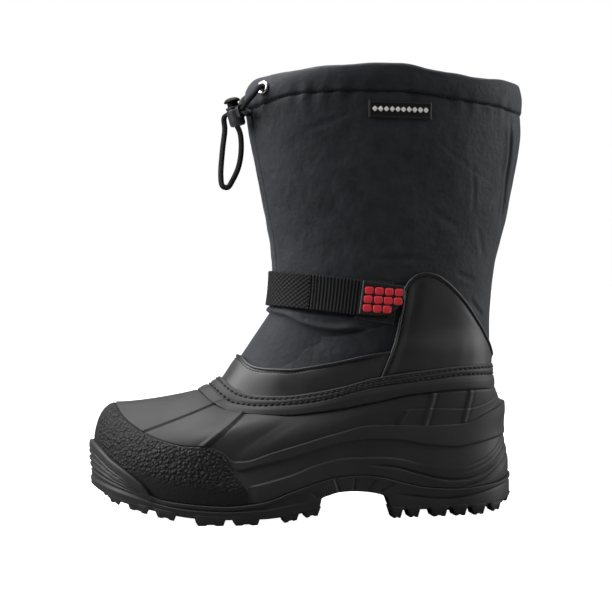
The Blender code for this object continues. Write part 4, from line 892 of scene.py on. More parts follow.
EDGE_LUGS = [
    (-148, -138.5), (-135.5, -120.3), (-116.9, -102.2), (-90.2, -69), (-64.6, -45.4), (-30.7, -17.6),
    (-15, -2.4), (49.6, 58.7), (61.8, 71.8), (79, 92.2), (95.5, 107), (109.8, 121.3), (125, 135)]
INNER_LUGS = [
    (-138, 6, 9, 22), (-122, 5, 9, 30), (-104, -13, 12, 20), (-96, 15, 12, 20), (-80, -15, 14, 22),
    (-72, 15, 14, 22), (-56, -16, 14, 22), (-48, 13, 14, 22), (-30, -12, 12, 20), (-22, 11, 12, 18),
    (-9, -2, 8, 26), (71.5, 9, 9, 18), (74, -13, 10, 18), (84, 9, 10, 18), (98, -10, 10, 18),
    (107, 8, 10, 16), (121, 0, 9, 24), (-148, -3.5, 8, 15), (-148, 18.5, 8, 15), (142, -11, 9, 16),
    (142, 11, 9, 16)]
LUG_INSET = 0.3
LUG_DEPTH = 17
LUG_TAPER = 2.0
LUG_FLARE = 0.3
LUG_ROOT = 2.4
LUG_NOTCH = 0.8
ALONG_LUG = np.array([0.0, 0.28, 0.38, 0.62, 0.72, 1.0])
NOTCH_AT = np.array([0.0, 0.0, 1.0, 1.0, 0.0, 0.0])


def lug(start, end, near, far):
    """A block with a notched foot: near and far give y from x and from 1 at the foot or 0 at the root."""
    foot = start + LUG_TAPER + (end - start - 2 * LUG_TAPER) * ALONG_LUG
    root = start - LUG_FLARE + (end - start + 2 * LUG_FLARE) * ALONG_LUG
    x = np.stack([foot, root])
    z = np.stack([smooth(LUG_HEIGHT, foot) + LUG_NOTCH * NOTCH_AT, smooth(SOLE_BASE_HEIGHT, root) + LUG_ROOT])
    at_foot = rows_at(1.0, 0.0)
    return np.stack([np.stack([x, side(x, at_foot), z], axis=-1) for side in (near, far)]).reshape(-1, 3)


def edge_lug(start, end, side):
    """A lug along the sole's outline on one side."""
    sole_length = FEATHER_ENDS[1] - FEATHER_ENDS[0] + 2 * SOLE_OVERHANG

    def inside(x, inset):
        share_x = (x - (FEATHER_ENDS[0] - SOLE_OVERHANG)) / sole_length
        return sole_point(-side * np.arccos(np.clip(1 - 2 * share_x, -1, 1)), inset, lambda v: 0 * v)[..., 1]

    return lug(start, end, lambda x, foot: inside(x, LUG_INSET + 0.5 * foot + 0 * x),
               lambda x, foot: inside(x, LUG_DEPTH - LUG_TAPER * foot + 0 * x))


def inner_lug(x, y, long, wide):
    """A lug in the middle of the tread, by its centre and its size."""
    return lug(x - long / 2, x + long / 2, lambda v, foot: y - wide / 2 + LUG_TAPER * foot + 0 * v,
               lambda v, foot: y + wide / 2 - LUG_TAPER * foot + 0 * v)


# The edge lug just behind the arch is left out on the inner side, where the arch ends further back
blocks = [edge_lug(*ends, side) for ends in EDGE_LUGS for side in (-1, 1)
          if side < 0 or not 45 < ends[0] < 65]
blocks += [inner_lug(*sizes) for sizes in INNER_LUGS]
lug_faces = plate_faces(2, len(ALONG_LUG))
faces = [facing_out(block, lug_faces) + k * len(block) for k, block in enumerate(blocks)]
lugs = make_piece("lugs", np.concatenate(blocks), np.concatenate(faces), sole_rubber)


def soft_edges(piece, width, sharpest):
    """Round the piece's edges that turn by more than some degrees, over a width in millimetres."""
    bevel = piece.modifiers.new("soft_edges", "BEVEL")
    bevel.width = width * MM
    bevel.segments = 2
    bevel.limit_method = "ANGLE"
    bevel.angle_limit = math.radians(sharpest)
    return bevel


soft_edges(lugs, 0.45, 25)

# ------------------------------------------------------------ footbed
# A loose felt insole lies on the sole, cut a little inside the galosh.

# Needled wool and polyester felt: dull, with short loose fibres
wool_felt, tree, shader = principled("needled_felt", "#4b4b4e", 0.95, Sheen_Weight=0.4, Sheen_Roughness=0.5)
mottled(tree, shader, "#414144", "#56565a", 5, 0.9, 1.0)
grain(tree, shader, 0.9, 0.25, detail=6.0)

# The insole's rings, from its underside to its top face: height above the bed and draw-in at the edge
FOOTBED_RINGS = [(0.3, 0.6), (2.6, 0.2), (3.9, 0.5), (4.3, 1.4)]

angle = np.radians(np.arange(0, 360, 2.0))
rings = []
for above_bed, inset in FOOTBED_RINGS:
    level = level_at(angle, lambda x: smooth(BED_HEIGHT, x) + above_bed, 0, 1)
    rings.append(lifted(angle, level, 0.9 - inset))
rings = np.stack(rings)
count = len(angle)
total = len(rings) * count
under = filled(rings[0], 0, total, 6, lambda x, y: smooth(BED_HEIGHT, x) + FOOTBED_RINGS[0][0], True)
above = filled(rings[-1], total - count, total + len(under[0]), 10,
               lambda x, y: smooth(BED_HEIGHT, x) + FOOTBED_RINGS[-1][0], False)
make_piece("footbed", np.concatenate([rings.reshape(-1, 3), under[0], above[0]]),
           np.concatenate([grid_faces(len(rings), count, round_columns=True), under[1], above[1]]),
           wool_felt, ("insole",))

# -------------------------------------------------------------- shaft
# The shaft is nylon cloth over a thin foam, cut in two halves that are sewn down the front and the back. A
# casing for the drawcord is turned over and sewn along the collar, and its stitches gather the cloth.

SEAM_HEIGHT = [(-48, 291), (-38, 294.5), (-29, 297.5), (-15, 300.3), (0, 301.2), (20, 302.3), (56, 302.3),
               (75, 301), (95, 298.5), (115, 296), (130, 294.8), (146, 292.2), (159, 291.2)]
CASING_STEP = 1.3
TUCK_LEVEL = 3.2
CLOTH_ROUND = 330.0
FRONT_SEAM = math.radians(12)
THREAD_PITCH = 0.8
GATHER_PITCH = 5.2
# The strap's middle line by its angle, and the fold of cloth that its pull raises under it by x
STRAP_MIDDLE = [(0, 162.7), (20, 162.2), (45, 160), (74, 156), (100, 153.5)]
STRAP_WIDTH = 25.4
FOLD_HEIGHT = [
    (-40, 146.8), (-33, 145.6), (-24.9, 143.4), (-18.8, 141), (-10, 136.2), (0.7, 133.6), (10.9, 132.6),
    (24.8, 133.8), (42, 136), (70, 137)]
FOLD_DEPTH = [(-40, 1.4), (-22, 2.6), (-8, 3.4), (10, 3.0), (26, 1.7), (38, 0.0)]
PINCH_DEPTH = 1.3
WAIST_DEPTH = 2.0
WAIST_HEIGHT = 131
# Creases in side view: their points, half width and depth
CREASES = [
    ([(-18, 149), (-5, 147), (8, 145.4), (22, 145)], 1.6, 2.4),
    ([(24, 137), (38, 136), (49, 139)], 1.4, 1.0),
    ([(22.2, 287.1), (6.4, 279.8), (-12, 274)], 1.8, 0.35),
    ([(80.4, 271.3), (98.1, 255.9), (133, 236.3)], 1.3, 0.25),
    ([(144.5, 290), (144.4, 262), (141.5, 235), (137.5, 208)], 1.2, 1.4),
    ([(111.5, 252), (113.5, 232), (112, 216)], 1.4, 0.3),
    ([(34.7, 183.6), (56, 184), (76, 183.4)], 2.0, 0.5),
    ([(100.2, 173.8), (115.9, 168)], 1.6, 0.5),
    ([(111, 155.2), (123, 142)], 1.4, 0.8),
    ([(79.2, 219.3), (90, 212), (102.6, 204.6)], 2.2, 0.3),
    ([(116.6, 208), (122.5, 185)], 2.0, 0.35),
    ([(60, 262), (61, 244)], 3.0, 0.25),
    ([(42, 270), (43, 248), (39, 232)], 3.2, 0.25)]


def nearest(x, z, points):
    """Distance to a run of straight strokes, and the share of the way along the run."""
    reach, share = np.full(x.shape, np.inf), np.zeros(x.shape)
    for k, ends in enumerate(zip(points, points[1:])):
        across, along = stroke(x, z, *ends)
        now = np.hypot(across, (along - np.clip(along, 0, 1)) * math.dist(*ends))
        share = np.where(now < reach, (k + np.clip(along, -0.2, 1.2)) / (len(points) - 1), share)
        reach = np.minimum(now, reach)
    return reach, share


def creased(x, z):
    """How far the creases sink the cloth: a narrow trough with a soft shoulder, fading out at both ends."""
    sunk = np.zeros(x.shape)
    for points, width, depth in CREASES:
        reach, along = nearest(x, z, points)
        fade = ease(-0.05, 0.25, along) * (1 - ease(0.75, 1.05, along))
        sunk += depth * fade * (ridge(reach, width) - 0.35 * ridge((reach - 2.2 * width) / 1.4, width))
    return sunk


def thread_wave(tree, length, pitch):
    """A sine of a length over the cloth, both in millimetres, that comes back at every pitch."""
    turns = add(tree, "Math", operation="MULTIPLY", i0=length, i1=2 * math.pi / pitch)
    return add(tree, "Math", operation="SINE", i0=turns.outputs[0]).outputs[0]


def cloth_lengths(tree):
    """The two lengths over the cloth that the piece's map holds."""
    cloth = add(tree, "UVMap", uv_map="along_the_cloth")
    lengths = add(tree, "SeparateXYZ", Vector=cloth.outputs["UV"])
    return lengths.outputs["X"], lengths.outputs["Y"]


# Plain-woven nylon with a dull coated face: a fine dry weave, a slight bluish sheen, no gloss. The threads
# lie 0.3 mm apart, too fine to show, and are drawn at 0.8 mm
nylon_cloth, tree, shader = principled("woven_nylon", "#16181d", 0.62, Sheen_Weight=0.24,
                                       Sheen_Roughness=0.45, Specular_IOR_Level=0.3)
shader.inputs["Sheen Tint"].default_value = linear("#b4bac8")
mottled(tree, shader, "#1e2024", "#27292e", 9, 0.56, 0.7)
warp, weft = (thread_wave(tree, length, THREAD_PITCH) for length in cloth_lengths(tree))
weave = add(tree, "Math", operation="MULTIPLY", i0=warp, i1=weft)
relief(tree, shader, weave.outputs[0], 0.03)
grain(tree, shader, 3.2, 0.3, detail=4.0)

angle = spread_round(440, (12,))
turn = folded(angle)
seam = line_level(angle, SEAM_HEIGHT, 4.5, COLLAR)
fold = line_level(angle, FOLD_HEIGHT, TOP_OF_SHELL, 4.5)
strap_low = smooth(STRAP_MIDDLE, turn) - STRAP_WIDTH / 2
under_strap = level_at(angle, lambda x: strap_low, TOP_OF_SHELL, 4.6)
levels = knotted(
    [TUCK_LEVEL, TOP_OF_SHELL, fold, under_strap, seam, COLLAR],
    [rows_at(0.0), rows_at(0.0),
     rows_at(-3.6, -2.6, -1.9, -1.3, -0.8, -0.3, 0.2, 0.8, 1.5, 2.4) / SHAFT_MM,
     rows_at(-1.0, -0.4, 0.2, 0.9) / SHAFT_MM,
     rows_at(-1.1, -0.5, -0.15, 0.25, 0.7) / SHAFT_MM,
     rows_at(-2.2, -1.2, -0.5, 0.0) / SHAFT_MM], (3, 34, 7, 96, 16))
columns = angle + 0 * levels
flat = last(columns, levels)
x, z = flat[..., 0], flat[..., 2]

# The creases; the inner side has the same ones a little shifted
lateral = np.sin(columns) >= 0
sunk = np.where(lateral, creased(x, z), creased(1.06 * x - 5, z - 7 * ease(-30, 0, x)))

# The casing, and the small pleats that its stitches draw into the cloth below and above them
around_mm = columns / (2 * np.pi) * CLOTH_ROUND
under_seam = (seam - levels) * SHAFT_MM
over_seam = (levels - seam) * SHAFT_MM
gather = 0.6 * waves(np.stack([around_mm, 0 * z, 0 * z], axis=-1), GATHER_PITCH, 11, 14)
pleats = (gather + 0.5 * np.cos(around_mm * 0.83)) * (0.5 + 0.3 * (1 - ease(70, 130, turn)))
below = pleats * np.exp(-np.clip(under_seam, 0, None) / 6.0) * (under_seam > 0)
above = pleats * np.exp(-np.clip(over_seam, 0, None) / 3.5) * (under_seam <= 0)
casing_share = np.clip((levels - seam) / (COLLAR - seam), 0, 1)
casing = step(-under_seam, 0.5) * (CASING_STEP - 0.5 + 0.9 * np.sin(np.pi * casing_share) ** 0.6)
casing -= 0.9 * ease(0.93, 1.0, casing_share)

# Slack cloth over foam: broad puffs, and crumples that are sharper towards the front
puff = 0.4 * waves(flat, 52, 21, 30) + 0.12 * waves(flat, 19, 22, 30)
fresh = 1 - 0.6 * ease(40, 110, x)
crumple = 0.06 - 0.12 * np.abs(waves(flat * (1, 1, 0.8), 13, 23, 30)) * fresh
crumple += 0.06 - 0.1 * np.abs(waves(flat, 6.5, 24, 30)) * fresh

# The strap pinches the cloth along its lower edge, and a fold hangs over under it, with a waist below
over_fold = (levels - fold) * SHAFT_MM
fold_deep = smooth(FOLD_DEPTH, x)
lip = fold_deep * ridge(over_fold - 1.0, np.where(over_fold > 1.0, 4.4, 1.0))
lip -= 0.9 * fold_deep * ridge(over_fold + 1.2, np.where(over_fold > -1.2, 1.1, 1.5))
waist = WAIST_DEPTH * ridge(z - WAIST_HEIGHT, 12) * (1 - ease(48, 80, turn))
pinched = PINCH_DEPTH * ridge((levels - under_strap) * SHAFT_MM - 0.3, 1.3) * (1 - ease(44, 56, x))

shaft_lift = casing + below + above - sunk * (levels < seam) - 1.0 * ridge(under_seam - 0.2, 0.7)
slack = ease(TOP_OF_SHELL, TOP_OF_SHELL + 0.1, levels) * (1 - 0.4 * step(-under_seam))
shaft_lift += (puff + crumple) * slack
shaft_lift += lip - pinched - waist
for seam_angle, way in ((FRONT_SEAM, 1), (2 * math.pi - FRONT_SEAM, -1)):
    beside = (columns - seam_angle) * 40 * way
    shaft_lift -= (0.5 * ridge(beside, 0.7) - 0.25 * ridge(beside + 1.6, 1.0)) * (levels < seam)
shaft_lift = np.where(levels < TOP_OF_SHELL, 0.0, shaft_lift)
outer = lifted(columns, levels, shaft_lift)
outer[..., 2] += 0.35 * waves(flat, 30, 25, 20) * ease(0.9, 1.0, casing_share)

# The inside: the turned hem, and the foam's back face deep enough behind the strap's folds
inner_levels = rows_at(COLLAR, 4.99, 4.97, 4.9, 4.75, 4.5, 4.25, 4.0, 3.6, TUCK_LEVEL) + 0 * turn
inner_lift = rows_at(-0.6, -1.1, -1.3, -1.4, -1.4, -2.6, -3.2, -1.4, -1.4, -1.4)
rings = np.concatenate([outer, lifted(angle, inner_levels, inner_lift)])
heights = np.concatenate([levels, 2 * COLLAR - inner_levels])
uv = np.stack([angle / (2 * np.pi) * CLOTH_ROUND + 0 * heights, heights * SHAFT_MM], axis=-1)
make_piece("nylon_shaft", rings, closed_faces(*heights.shape), nylon_cloth, ("upper_shaft",), uv=uv,
           uv_round=CLOTH_ROUND)

# Bonded polyester thread: smooth, tight and slightly waxy
waxed_thread, tree, shader = principled("bonded_thread", "#101012", 0.55, Specular_IOR_Level=0.35)
grain(tree, shader, 0.5, 0.06)


def frames_along(path, normals):
    """Unit vectors along a path, out of its surface, and across it."""
    along = unit(np.gradient(path, axis=0))
    out = unit(normals - along * np.sum(normals * along, axis=1, keepdims=True))
    return along, out, np.cross(along, out)


def once_round(count):
    """Even angles once round a circle."""
    return np.linspace(0, 2 * np.pi, count, endpoint=False)


def run_along(path):
    """The distance along a path from its start to each of its points."""
    return np.concatenate([[0], np.cumsum(np.linalg.norm(np.diff(path, axis=0), axis=1))])


def evenly(path, pitch, *more):
    """A path, and values along it, sampled again at even distances."""
    run = run_along(path)
    at = np.linspace(0, run[-1], max(int(round(run[-1] / pitch)), 2) + 1)
    return [np.stack([np.interp(at, run, column) for column in values.T], axis=-1)
            for values in (path, *more)]


def over_form(angles, levels, lift):
    """A path over the form, in degrees and levels, and the way out of the form at each of its points."""
    angles, levels = np.radians(angles), np.asarray(levels, float)
    path = lifted(angles, levels, lift)
    out = path - lifted(angles, levels, lift - 1.0)
    return path, out


def tube_faces(rows, sides):
    """Quads of a tube and a fan over each of its ends; a fan's triangles are quads with a doubled corner."""
    fan = np.array([[0, k + 2, k + 1, k + 1] for k in range(sides - 2)])
    return np.concatenate([grid_faces(rows, sides, round_columns=True), fan,
                           (rows - 1) * sides + fan[:, [0, 2, 1, 1]]])


def copies(points, faces):
    """Faces for a row of like bodies from those of one: points holds each body's points in turn."""
    one = facing_out(points[0].reshape(-1, 3), faces)
    shift = np.arange(len(points)) * (points[0].size // 3)
    return (one + shift[:, None, None]).reshape(-1, 4)


# A stitch from end to end: share of half its length, share of its radius
STITCH_RINGS = np.array([[-1.0, 0.3], [-0.82, 0.85], [0.0, 1.0], [0.82, 0.85], [1.0, 0.3]])
STITCH_SIDES = 6
CASING_STITCH = (3.0, 2.3, 0.32)


def stitches(name, path, normals, stitch, slot, finish=waxed_thread):
    """A row of stitches, each a short arched bead whose ends dip in. stitch: pitch, length, radius."""
    pitch, length, radius = stitch
    path, normals = evenly(path, pitch, normals)
    turn = once_round(STITCH_SIDES)
    run, size = STITCH_RINGS[:, 0, None] * length / 2, STITCH_RINGS[:, 1, None] * radius
    arch = radius * (0.45 - 1.1 * STITCH_RINGS[:, 0, None] ** 4)
    bead = np.stack([run + 0 * turn, arch + size * np.cos(turn), size * np.sin(turn)], axis=-1)
    axes = np.stack(frames_along(path, normals), axis=1)
    points = path[:, None, None] + np.einsum("rsk,nkc->nrsc", bead, axes)
    faces = copies(points, tube_faces(len(STITCH_RINGS), STITCH_SIDES))
    return make_piece(name, points, faces, finish)


path, out = over_form(np.degrees(angle), seam - 0.2 / SHAFT_MM, 0.0)
path = np.concatenate([path, path[:1]]) + 0.1 * np.concatenate([out, out[:1]])
out = np.concatenate([out, out[:1]])
stitches("casing_stitches", path, out, CASING_STITCH, "upper_shaft")

# ------------------------------------------------------------- lining
# A fleece lining is sewn in under the casing and runs down to the footbed.

# Brushed polyester fleece: matt, with short clumped fibres and a strong soft sheen
fleece, tree, shader = principled("brushed_fleece", "#18181b", 0.95, Sheen_Weight=0.3, Sheen_Roughness=0.6)
mottled(tree, shader, "#131316", "#1f1f23", 6, 0.9, 1.0)
grain(tree, shader, 1.6, 0.5, detail=6.0)

LINING_TOP = 4.94
LINING_THICKNESS = 1.0

angle = spread_round(208, ())
tuck = TUCK_LEVEL - 0.2
bed = level_at(angle, lambda x: smooth(BED_HEIGHT, x) + 3.0, 0, 1)
levels = np.concatenate([LINING_TOP + (tuck - LINING_TOP) * np.linspace(0, 1, 40)[:, None] + 0 * angle,
                         tuck + (bed - tuck) * np.linspace(0.04, 1, 24)[:, None]])
# It lies deep behind the shaft's folds, and just inside the galosh's wall further down
face_lift = -2.5 + (0.7 + 2.5) * ease(3.3, 2.6, levels)
face_lift -= 2.0 * ease(4.02, 4.2, levels) * (1 - ease(4.5, 4.75, levels))
tufts = 0.25 * waves(last(angle, levels), 7, 31, 30) * ease(LINING_TOP, 4.8, levels)
rings = np.concatenate([lifted(angle, levels, face_lift + tufts),
                        lifted(angle, levels, face_lift + LINING_THICKNESS)[::-1]])
make_piece("fleece_lining", rings, closed_faces(len(rings), len(angle)), fleece)

# ------------------------------------------------------------ leather
# A leather band in front and a quarter round the heel lie over the nylon, and both are caught under the
# galosh's rim. Their cut edges are bound with a rolled piping, with a row of stitches just inside it.

LEATHER_LIFT = 1.5
LEATHER_THICKNESS = 1.2
QUARTER_FRONT = 94.6
LEATHER_TOP_HEIGHT = [(-49, 112), (-46.5, 108.2), (-41, 105.4), (-34, 104.6), (-20, 104.8), (-5, 107.3),
                      (14, 111.2), (34, 115.7), (50, 118)]
# The quarter's top by degrees from the toe, and millimetres a degree is worth beside its front edge
QUARTER_TOP = [
    (94.6, 157), (95.5, 164), (97.5, 169), (100.5, 172.4), (104.5, 173.9), (110, 172.7), (116, 168.8),
    (124.5, 161), (134.5, 150.5), (145, 138.5), (156, 126), (168, 115.5), (180, 112.5)]
QUARTER_DEGREE = 1.35
LEATHER_STITCH = (2.5, 2.0, 0.34)
RIM_STITCH = (4.2, 3.2, 0.62)
PIPING_RADIUS = 1.05
PIPING_LIFT = 1.5
PIPING_SIDES = 12
PUFF_DEPTH = 2.2
# Distances under the top edge of the rows close to it
NEAR_TOP = (4.0, 3.4, 2.9, 2.4, 1.9, 1.3, 0.8, 0.4, 0.1, 0.0)

# Corrected-grain cowhide with a satin finish: smooth, close to black, with broad soft highlights and pores
# 0.4 mm apart, drawn at 0.9 mm
satin_leather, tree, shader = principled("corrected_grain_leather", "#18181a", 0.52, Specular_IOR_Level=0.6,
                                         Coat_Weight=0.06, Coat_Roughness=0.35)
mottled(tree, shader, "#18181a", "#202022", 24, 0.46, 0.56)
grain(tree, shader, 0.9, 0.03, cells=True)
grain(tree, shader, 6, 0.05)

# The piping is the same leather pulled round a cord, so it is stretched smooth and catches a thin bright line
rolled_leather, tree, shader = principled("rolled_leather", "#1c1c1e", 0.4, Specular_IOR_Level=0.5)
grain(tree, shader, 1.2, 0.03)


def plate(name, angles, levels, lift, thickness, finish, stands_for, uv=None):
    """A closed plate over the form: a grid of angles and levels, its outer lift and how thick it is."""
    points = np.stack([lifted(angles, levels, lift), lifted(angles, levels, lift - thickness)])
    uv = None if uv is None else np.stack([uv, uv])
    return make_piece(name, points, plate_faces(*points.shape[1:3]), finish, (stands_for,), uv=uv)


def piping(name, path, normals, slot):
    """A round bead along a path, drawn in and closed at both ends."""
    path, normals = evenly(path, 0.9, normals)
    along, out, across = frames_along(path, normals)
    nose = PIPING_RADIUS * np.array([0.02, 0.7, 1.0])
    size = np.concatenate([nose, np.full(len(path) - 2, PIPING_RADIUS), nose[::-1]])
    pick = np.concatenate([[0, 0, 0], np.arange(1, len(path) - 1), [-1, -1, -1]])
    path = path[pick]
    path[2] += along[0] * 0.4
    path[-3] -= along[-1] * 0.4
    turn = once_round(PIPING_SIDES)[:, None]
    ring = np.cos(turn) * out[pick][:, None] + np.sin(turn) * across[pick][:, None]
    points = path[:, None] + ring * size[:, None, None]
    return make_piece(name, points, tube_faces(len(path), PIPING_SIDES), rolled_leather)


def upright(top, count):
    """Rows of levels from under the galosh's rim to the top: even ones, and some just under the top edge."""
    hidden = rows_at(TUCK_LEVEL + 0.1, 3.6, 3.9, TOP_OF_SHELL + 0.004) + 0 * top
    even = np.linspace(0, 1, count + 1)[1:, None]
    seen = TOP_OF_SHELL + 0.004 + (top - NEAR_TOP[0] / SHAFT_MM - TOP_OF_SHELL - 0.004) * even
    return np.concatenate([hidden, seen, top - rows_at(*NEAR_TOP[1:]) / SHAFT_MM])


def puffed(levels, around):
    """The leather bulges out above the galosh's rim and is drawn in again where the rim holds it."""
    above = (levels - TOP_OF_SHELL) * SHAFT_MM
    held = (1 - 0.8 * ease(15, 0, above)) * (1 - 0.85 * ease(118, 158, folded(around)))
    return PUFF_DEPTH * ease(32, 15, above) * held


def bound(name, edge, insets, slot):
    """Piping along a cut edge and a row of stitches inside it; edge(inset, lift) gives their paths."""
    piping(f"{name}_piping", *edge(insets[0], PIPING_LIFT), slot)
    stitches(f"{name}_stitches", *edge(insets[1], LEATHER_LIFT - 0.1), LEATHER_STITCH, slot)


# The band in front
span = QUARTER_FRONT - 0.5
angles = np.radians(np.linspace(-span, span, 420))
top = line_level(angles, LEATHER_TOP_HEIGHT, TUCK_LEVEL, 4.4)
levels = upright(top, 20)
from_top = (top - levels) * SHAFT_MM
lift = LEATHER_LIFT + 0.25 * waves(last(angles, levels), 26, 41, 24)
lift = lift + 0.2 * ridge((span - np.abs(np.degrees(angles))) - 2.6, 0.7) - 0.35 * ridge(from_top - 2.4, 0.5)
lift = lift - 0.7 * (1 - rounded(from_top, 0.6)) + puffed(levels, angles)
plate("leather_band", angles, levels, lift, LEATHER_THICKNESS, satin_leather, "leather_vamp")


def band_edge(inset, lift):
    """A path along the band's top edge, some millimetres under it."""
    return over_form(np.degrees(angles), top - inset / SHAFT_MM, lift + puffed(top, angles))


bound("band", band_edge, (0.7, 2.5), "leather_vamp")

# The quarter
angles = np.radians(spread(QUARTER_FRONT, 360 - QUARTER_FRONT, 460, (QUARTER_FRONT, 360 - QUARTER_FRONT)))
turned = folded(angles)
top = level_at(angles, lambda x: smooth(QUARTER_TOP, turned), TOP_OF_SHELL, 4.6)
levels = upright(top, 34)
from_top = (top - levels) * SHAFT_MM
from_front = (turned - QUARTER_FRONT) * QUARTER_DEGREE
from_edge = np.minimum(from_top, from_front)
soft = 0.3 * waves(last(angles, levels), 38, 42, 24)
soft -= 0.7 * ridge(from_front - 9, 4.0) * ease(2, 10, from_top)
soft += 0.06 * np.cos(turned * 0.62) * (1 - ease(8, 28, (levels - TOP_OF_SHELL) * SHAFT_MM))
lift = LEATHER_LIFT + soft * ease(1.5, 8, from_edge) - 0.35 * ridge(from_edge - 2.6, 0.5)
lift = lift - 0.7 * (1 - rounded(from_edge, 0.6)) + puffed(levels, angles)
plate("leather_quarter_piece", angles, levels, lift, LEATHER_THICKNESS, satin_leather, "leather_quarter")


def quarter_edge(inset, lift):
    """A path along the quarter's front edges and its top, some millimetres inside them."""
    inside = turned > QUARTER_FRONT + inset / QUARTER_DEGREE
    rim = np.degrees(angles)[inside]
    rim_top = top[inside] - inset / SHAFT_MM
    rise = np.linspace(3.9, rim_top[0], 60)[:-1]
    path_angles = np.concatenate([0 * rise + rim[0], rim, 0 * rise + rim[-1]])
    path_levels = np.concatenate([rise, rim_top, rise[::-1]])
    return over_form(path_angles, path_levels, lift + puffed(path_levels, np.radians(path_angles)))


bound("quarter", quarter_edge, (0.5, 2.6), "leather_quarter")

# The two rows that sew the upper to the galosh's rim
around = np.radians(np.linspace(0, 360, 721))
for row, below_rim in zip(("high", "low"), STITCH_ROWS):
    over_shell = STRIP_RISE - below_rim
    row_level = TOP_OF_SHELL + over_shell / (SHAFT_MM if over_shell > 0 else STRIP_MM) + 0 * around
    row_lift = SHELL_OUTER + STRIP_STEP * below_rim / STRIP_MM - 0.55 - tucked_in(folded(around))
    path, out = over_form(np.degrees(shell_angle(around, row_level)), row_level, row_lift)
    stitches(f"rim_stitches_{row}", path, out, RIM_STITCH, "rubber_shell")

# -------------------------------------------------------------- strap
# A webbing strap is sewn to the quarter on the inner side, passes over the instep and closes on a pad of loop
# tape. Its end is a moulded rubber tab to pull it by.

STRAP_THICKNESS = 1.8
STRAP_LOOSE = 1.4
STRAP_END_X = 50
STRAP_SEAM_X = -5.2
STRAP_STITCH = (2.4, 1.9, 0.36)
# Real ribs lie 1 mm apart and are drawn coarser: ribs along the strap with dots across them, and the diamond
# weave of the part in front of the seam, along the strap and across it
RIB_PITCH = 2.4
DOT_PITCH = 2.1
WEAVE_PITCH = (3.8, 3.2)

start_angle = float(place(np.array([STRAP_END_X]), np.array([154.0]))[0][0])
angles = np.linspace(math.radians(-(QUARTER_FRONT - 0.4)), start_angle, 500)
middle = smooth(STRAP_MIDDLE, folded(angles))
edges = [level_at(angles, lambda x: middle + side * STRAP_WIDTH / 2, TOP_OF_SHELL, 4.6) for side in (-1, 1)]
across_share = np.concatenate([[0, 0.012, 0.035], np.linspace(0.06, 0.94, 36), [0.965, 0.988, 1]])[:, None]
levels = edges[0] + (edges[1] - edges[0]) * across_share
centre_line = lifted(angles, (edges[0] + edges[1]) / 2, STRAP_LOOSE)
run = run_along(centre_line)
across_mm = (across_share - 0.5) * STRAP_WIDTH
from_edge = STRAP_WIDTH / 2 - np.abs(across_mm)
# Only the outer half of the strap, from the instep on, has the seam
seam_run = float(np.interp(STRAP_SEAM_X, centre_line[250:, 0], run[250:]))

# Polypropylene webbing, woven in ribs: dry, hard and a little shiny on the ribs' backs, with painted shade in
# the weave's low places
ribbed_webbing, tree, shader = principled("ribbed_webbing", "#0d0d10", 0.6, Specular_IOR_Level=0.28)
along_strap, over_strap = cloth_lengths(tree)
diamond = add(tree, "Math", operation="MULTIPLY", i0=thread_wave(tree, along_strap, WEAVE_PITCH[0]),
              i1=thread_wave(tree, over_strap, WEAVE_PITCH[1]))
rib_wave = thread_wave(tree, along_strap, RIB_PITCH)
dots = add(tree, "Math", operation="MULTIPLY", i0=rib_wave, i1=thread_wave(tree, over_strap, DOT_PITCH))
rows = add(tree, "Math", operation="MULTIPLY_ADD", i0=dots.outputs[0], i1=0.4, i2=rib_wave)
in_front = add(tree, "Math", operation="LESS_THAN", i0=along_strap, i1=seam_run)
woven = add(tree, "Mix", data_type="FLOAT", i0=in_front.outputs[0], i2=rows.outputs[0], i3=diamond.outputs[0])
relief(tree, shader, woven.outputs[0], 0.12)
# Painted shade: the base colour darkens in the weave's low places between ribs and diamonds and lightens on
# their backs
coloured(tree, shader, woven.outputs[0], -0.8, 1.1, "#040406", "#101014")
roughened(tree, shader, woven.outputs[0], -1.0, 1.0, 0.9, 0.55)

ribs = 0.09 * np.sin(2 * np.pi * run / RIB_PITCH) * (0.8 + 0.2 * np.sin(2 * np.pi * across_mm / DOT_PITCH))
bars = 0.12 * np.sin(2 * np.pi * run / WEAVE_PITCH[0]) * np.sin(2 * np.pi * across_mm / WEAVE_PITCH[1])
front_part = ease(seam_run + 1.5, seam_run - 1.5, run) * ease(2, 4, from_edge)
weave_height = ribs + (bars - ribs) * front_part
outer_lift = STRAP_LOOSE + STRAP_THICKNESS - 0.2 + weave_height * ease(0.4, 1.4, from_edge)
outer_lift -= 0.5 * ridge(run - seam_run, 0.7) + 0.7 * (1 - rounded(from_edge, 0.7))
uv = np.stack(np.broadcast_arrays(run, across_mm), axis=-1)
plate("webbing_strap", angles, levels, outer_lift, 1.5, ribbed_webbing, "instep_strap", uv=uv)
for row, shift in (("front", -0.5), ("rear", 1.9)):
    at = np.interp(seam_run + shift, run, angles)
    low, high = (np.interp(at, angles, edge) for edge in edges)
    path, out = over_form(np.full(28, math.degrees(at)), np.linspace(low, high, 30)[1:-1],
                          STRAP_LOOSE + STRAP_THICKNESS - 0.15)
    stitches(f"strap_stitches_{row}", path, out, STRAP_STITCH, "instep_strap")


def side_patch(name, sides, lift, thickness, shape, finish, stands_for, relief_of):
    """A plate seen from the side: left and right give x by z's share, low and high give z by x's share.

    relief_of(x, z, from_edge) is added to its lift.
    """
    left, right, low, high = sides
    up, along = np.meshgrid(np.linspace(0, 1, shape[0]), np.linspace(0, 1, shape[1]), indexing="ij")
    x = left(up) + (right(up) - left(up)) * along
    z = low(along) + (high(along) - low(along)) * up
    wide, tall = np.ptp(x), np.ptp(z)
    from_edge = np.minimum(np.minimum(along, 1 - along) * wide, np.minimum(up, 1 - up) * tall)
    uv = np.stack([along * wide, up * tall], axis=-1)
    return plate(name, *place(x, z), lift + relief_of(x, z, from_edge), thickness, finish, stands_for, uv=uv)


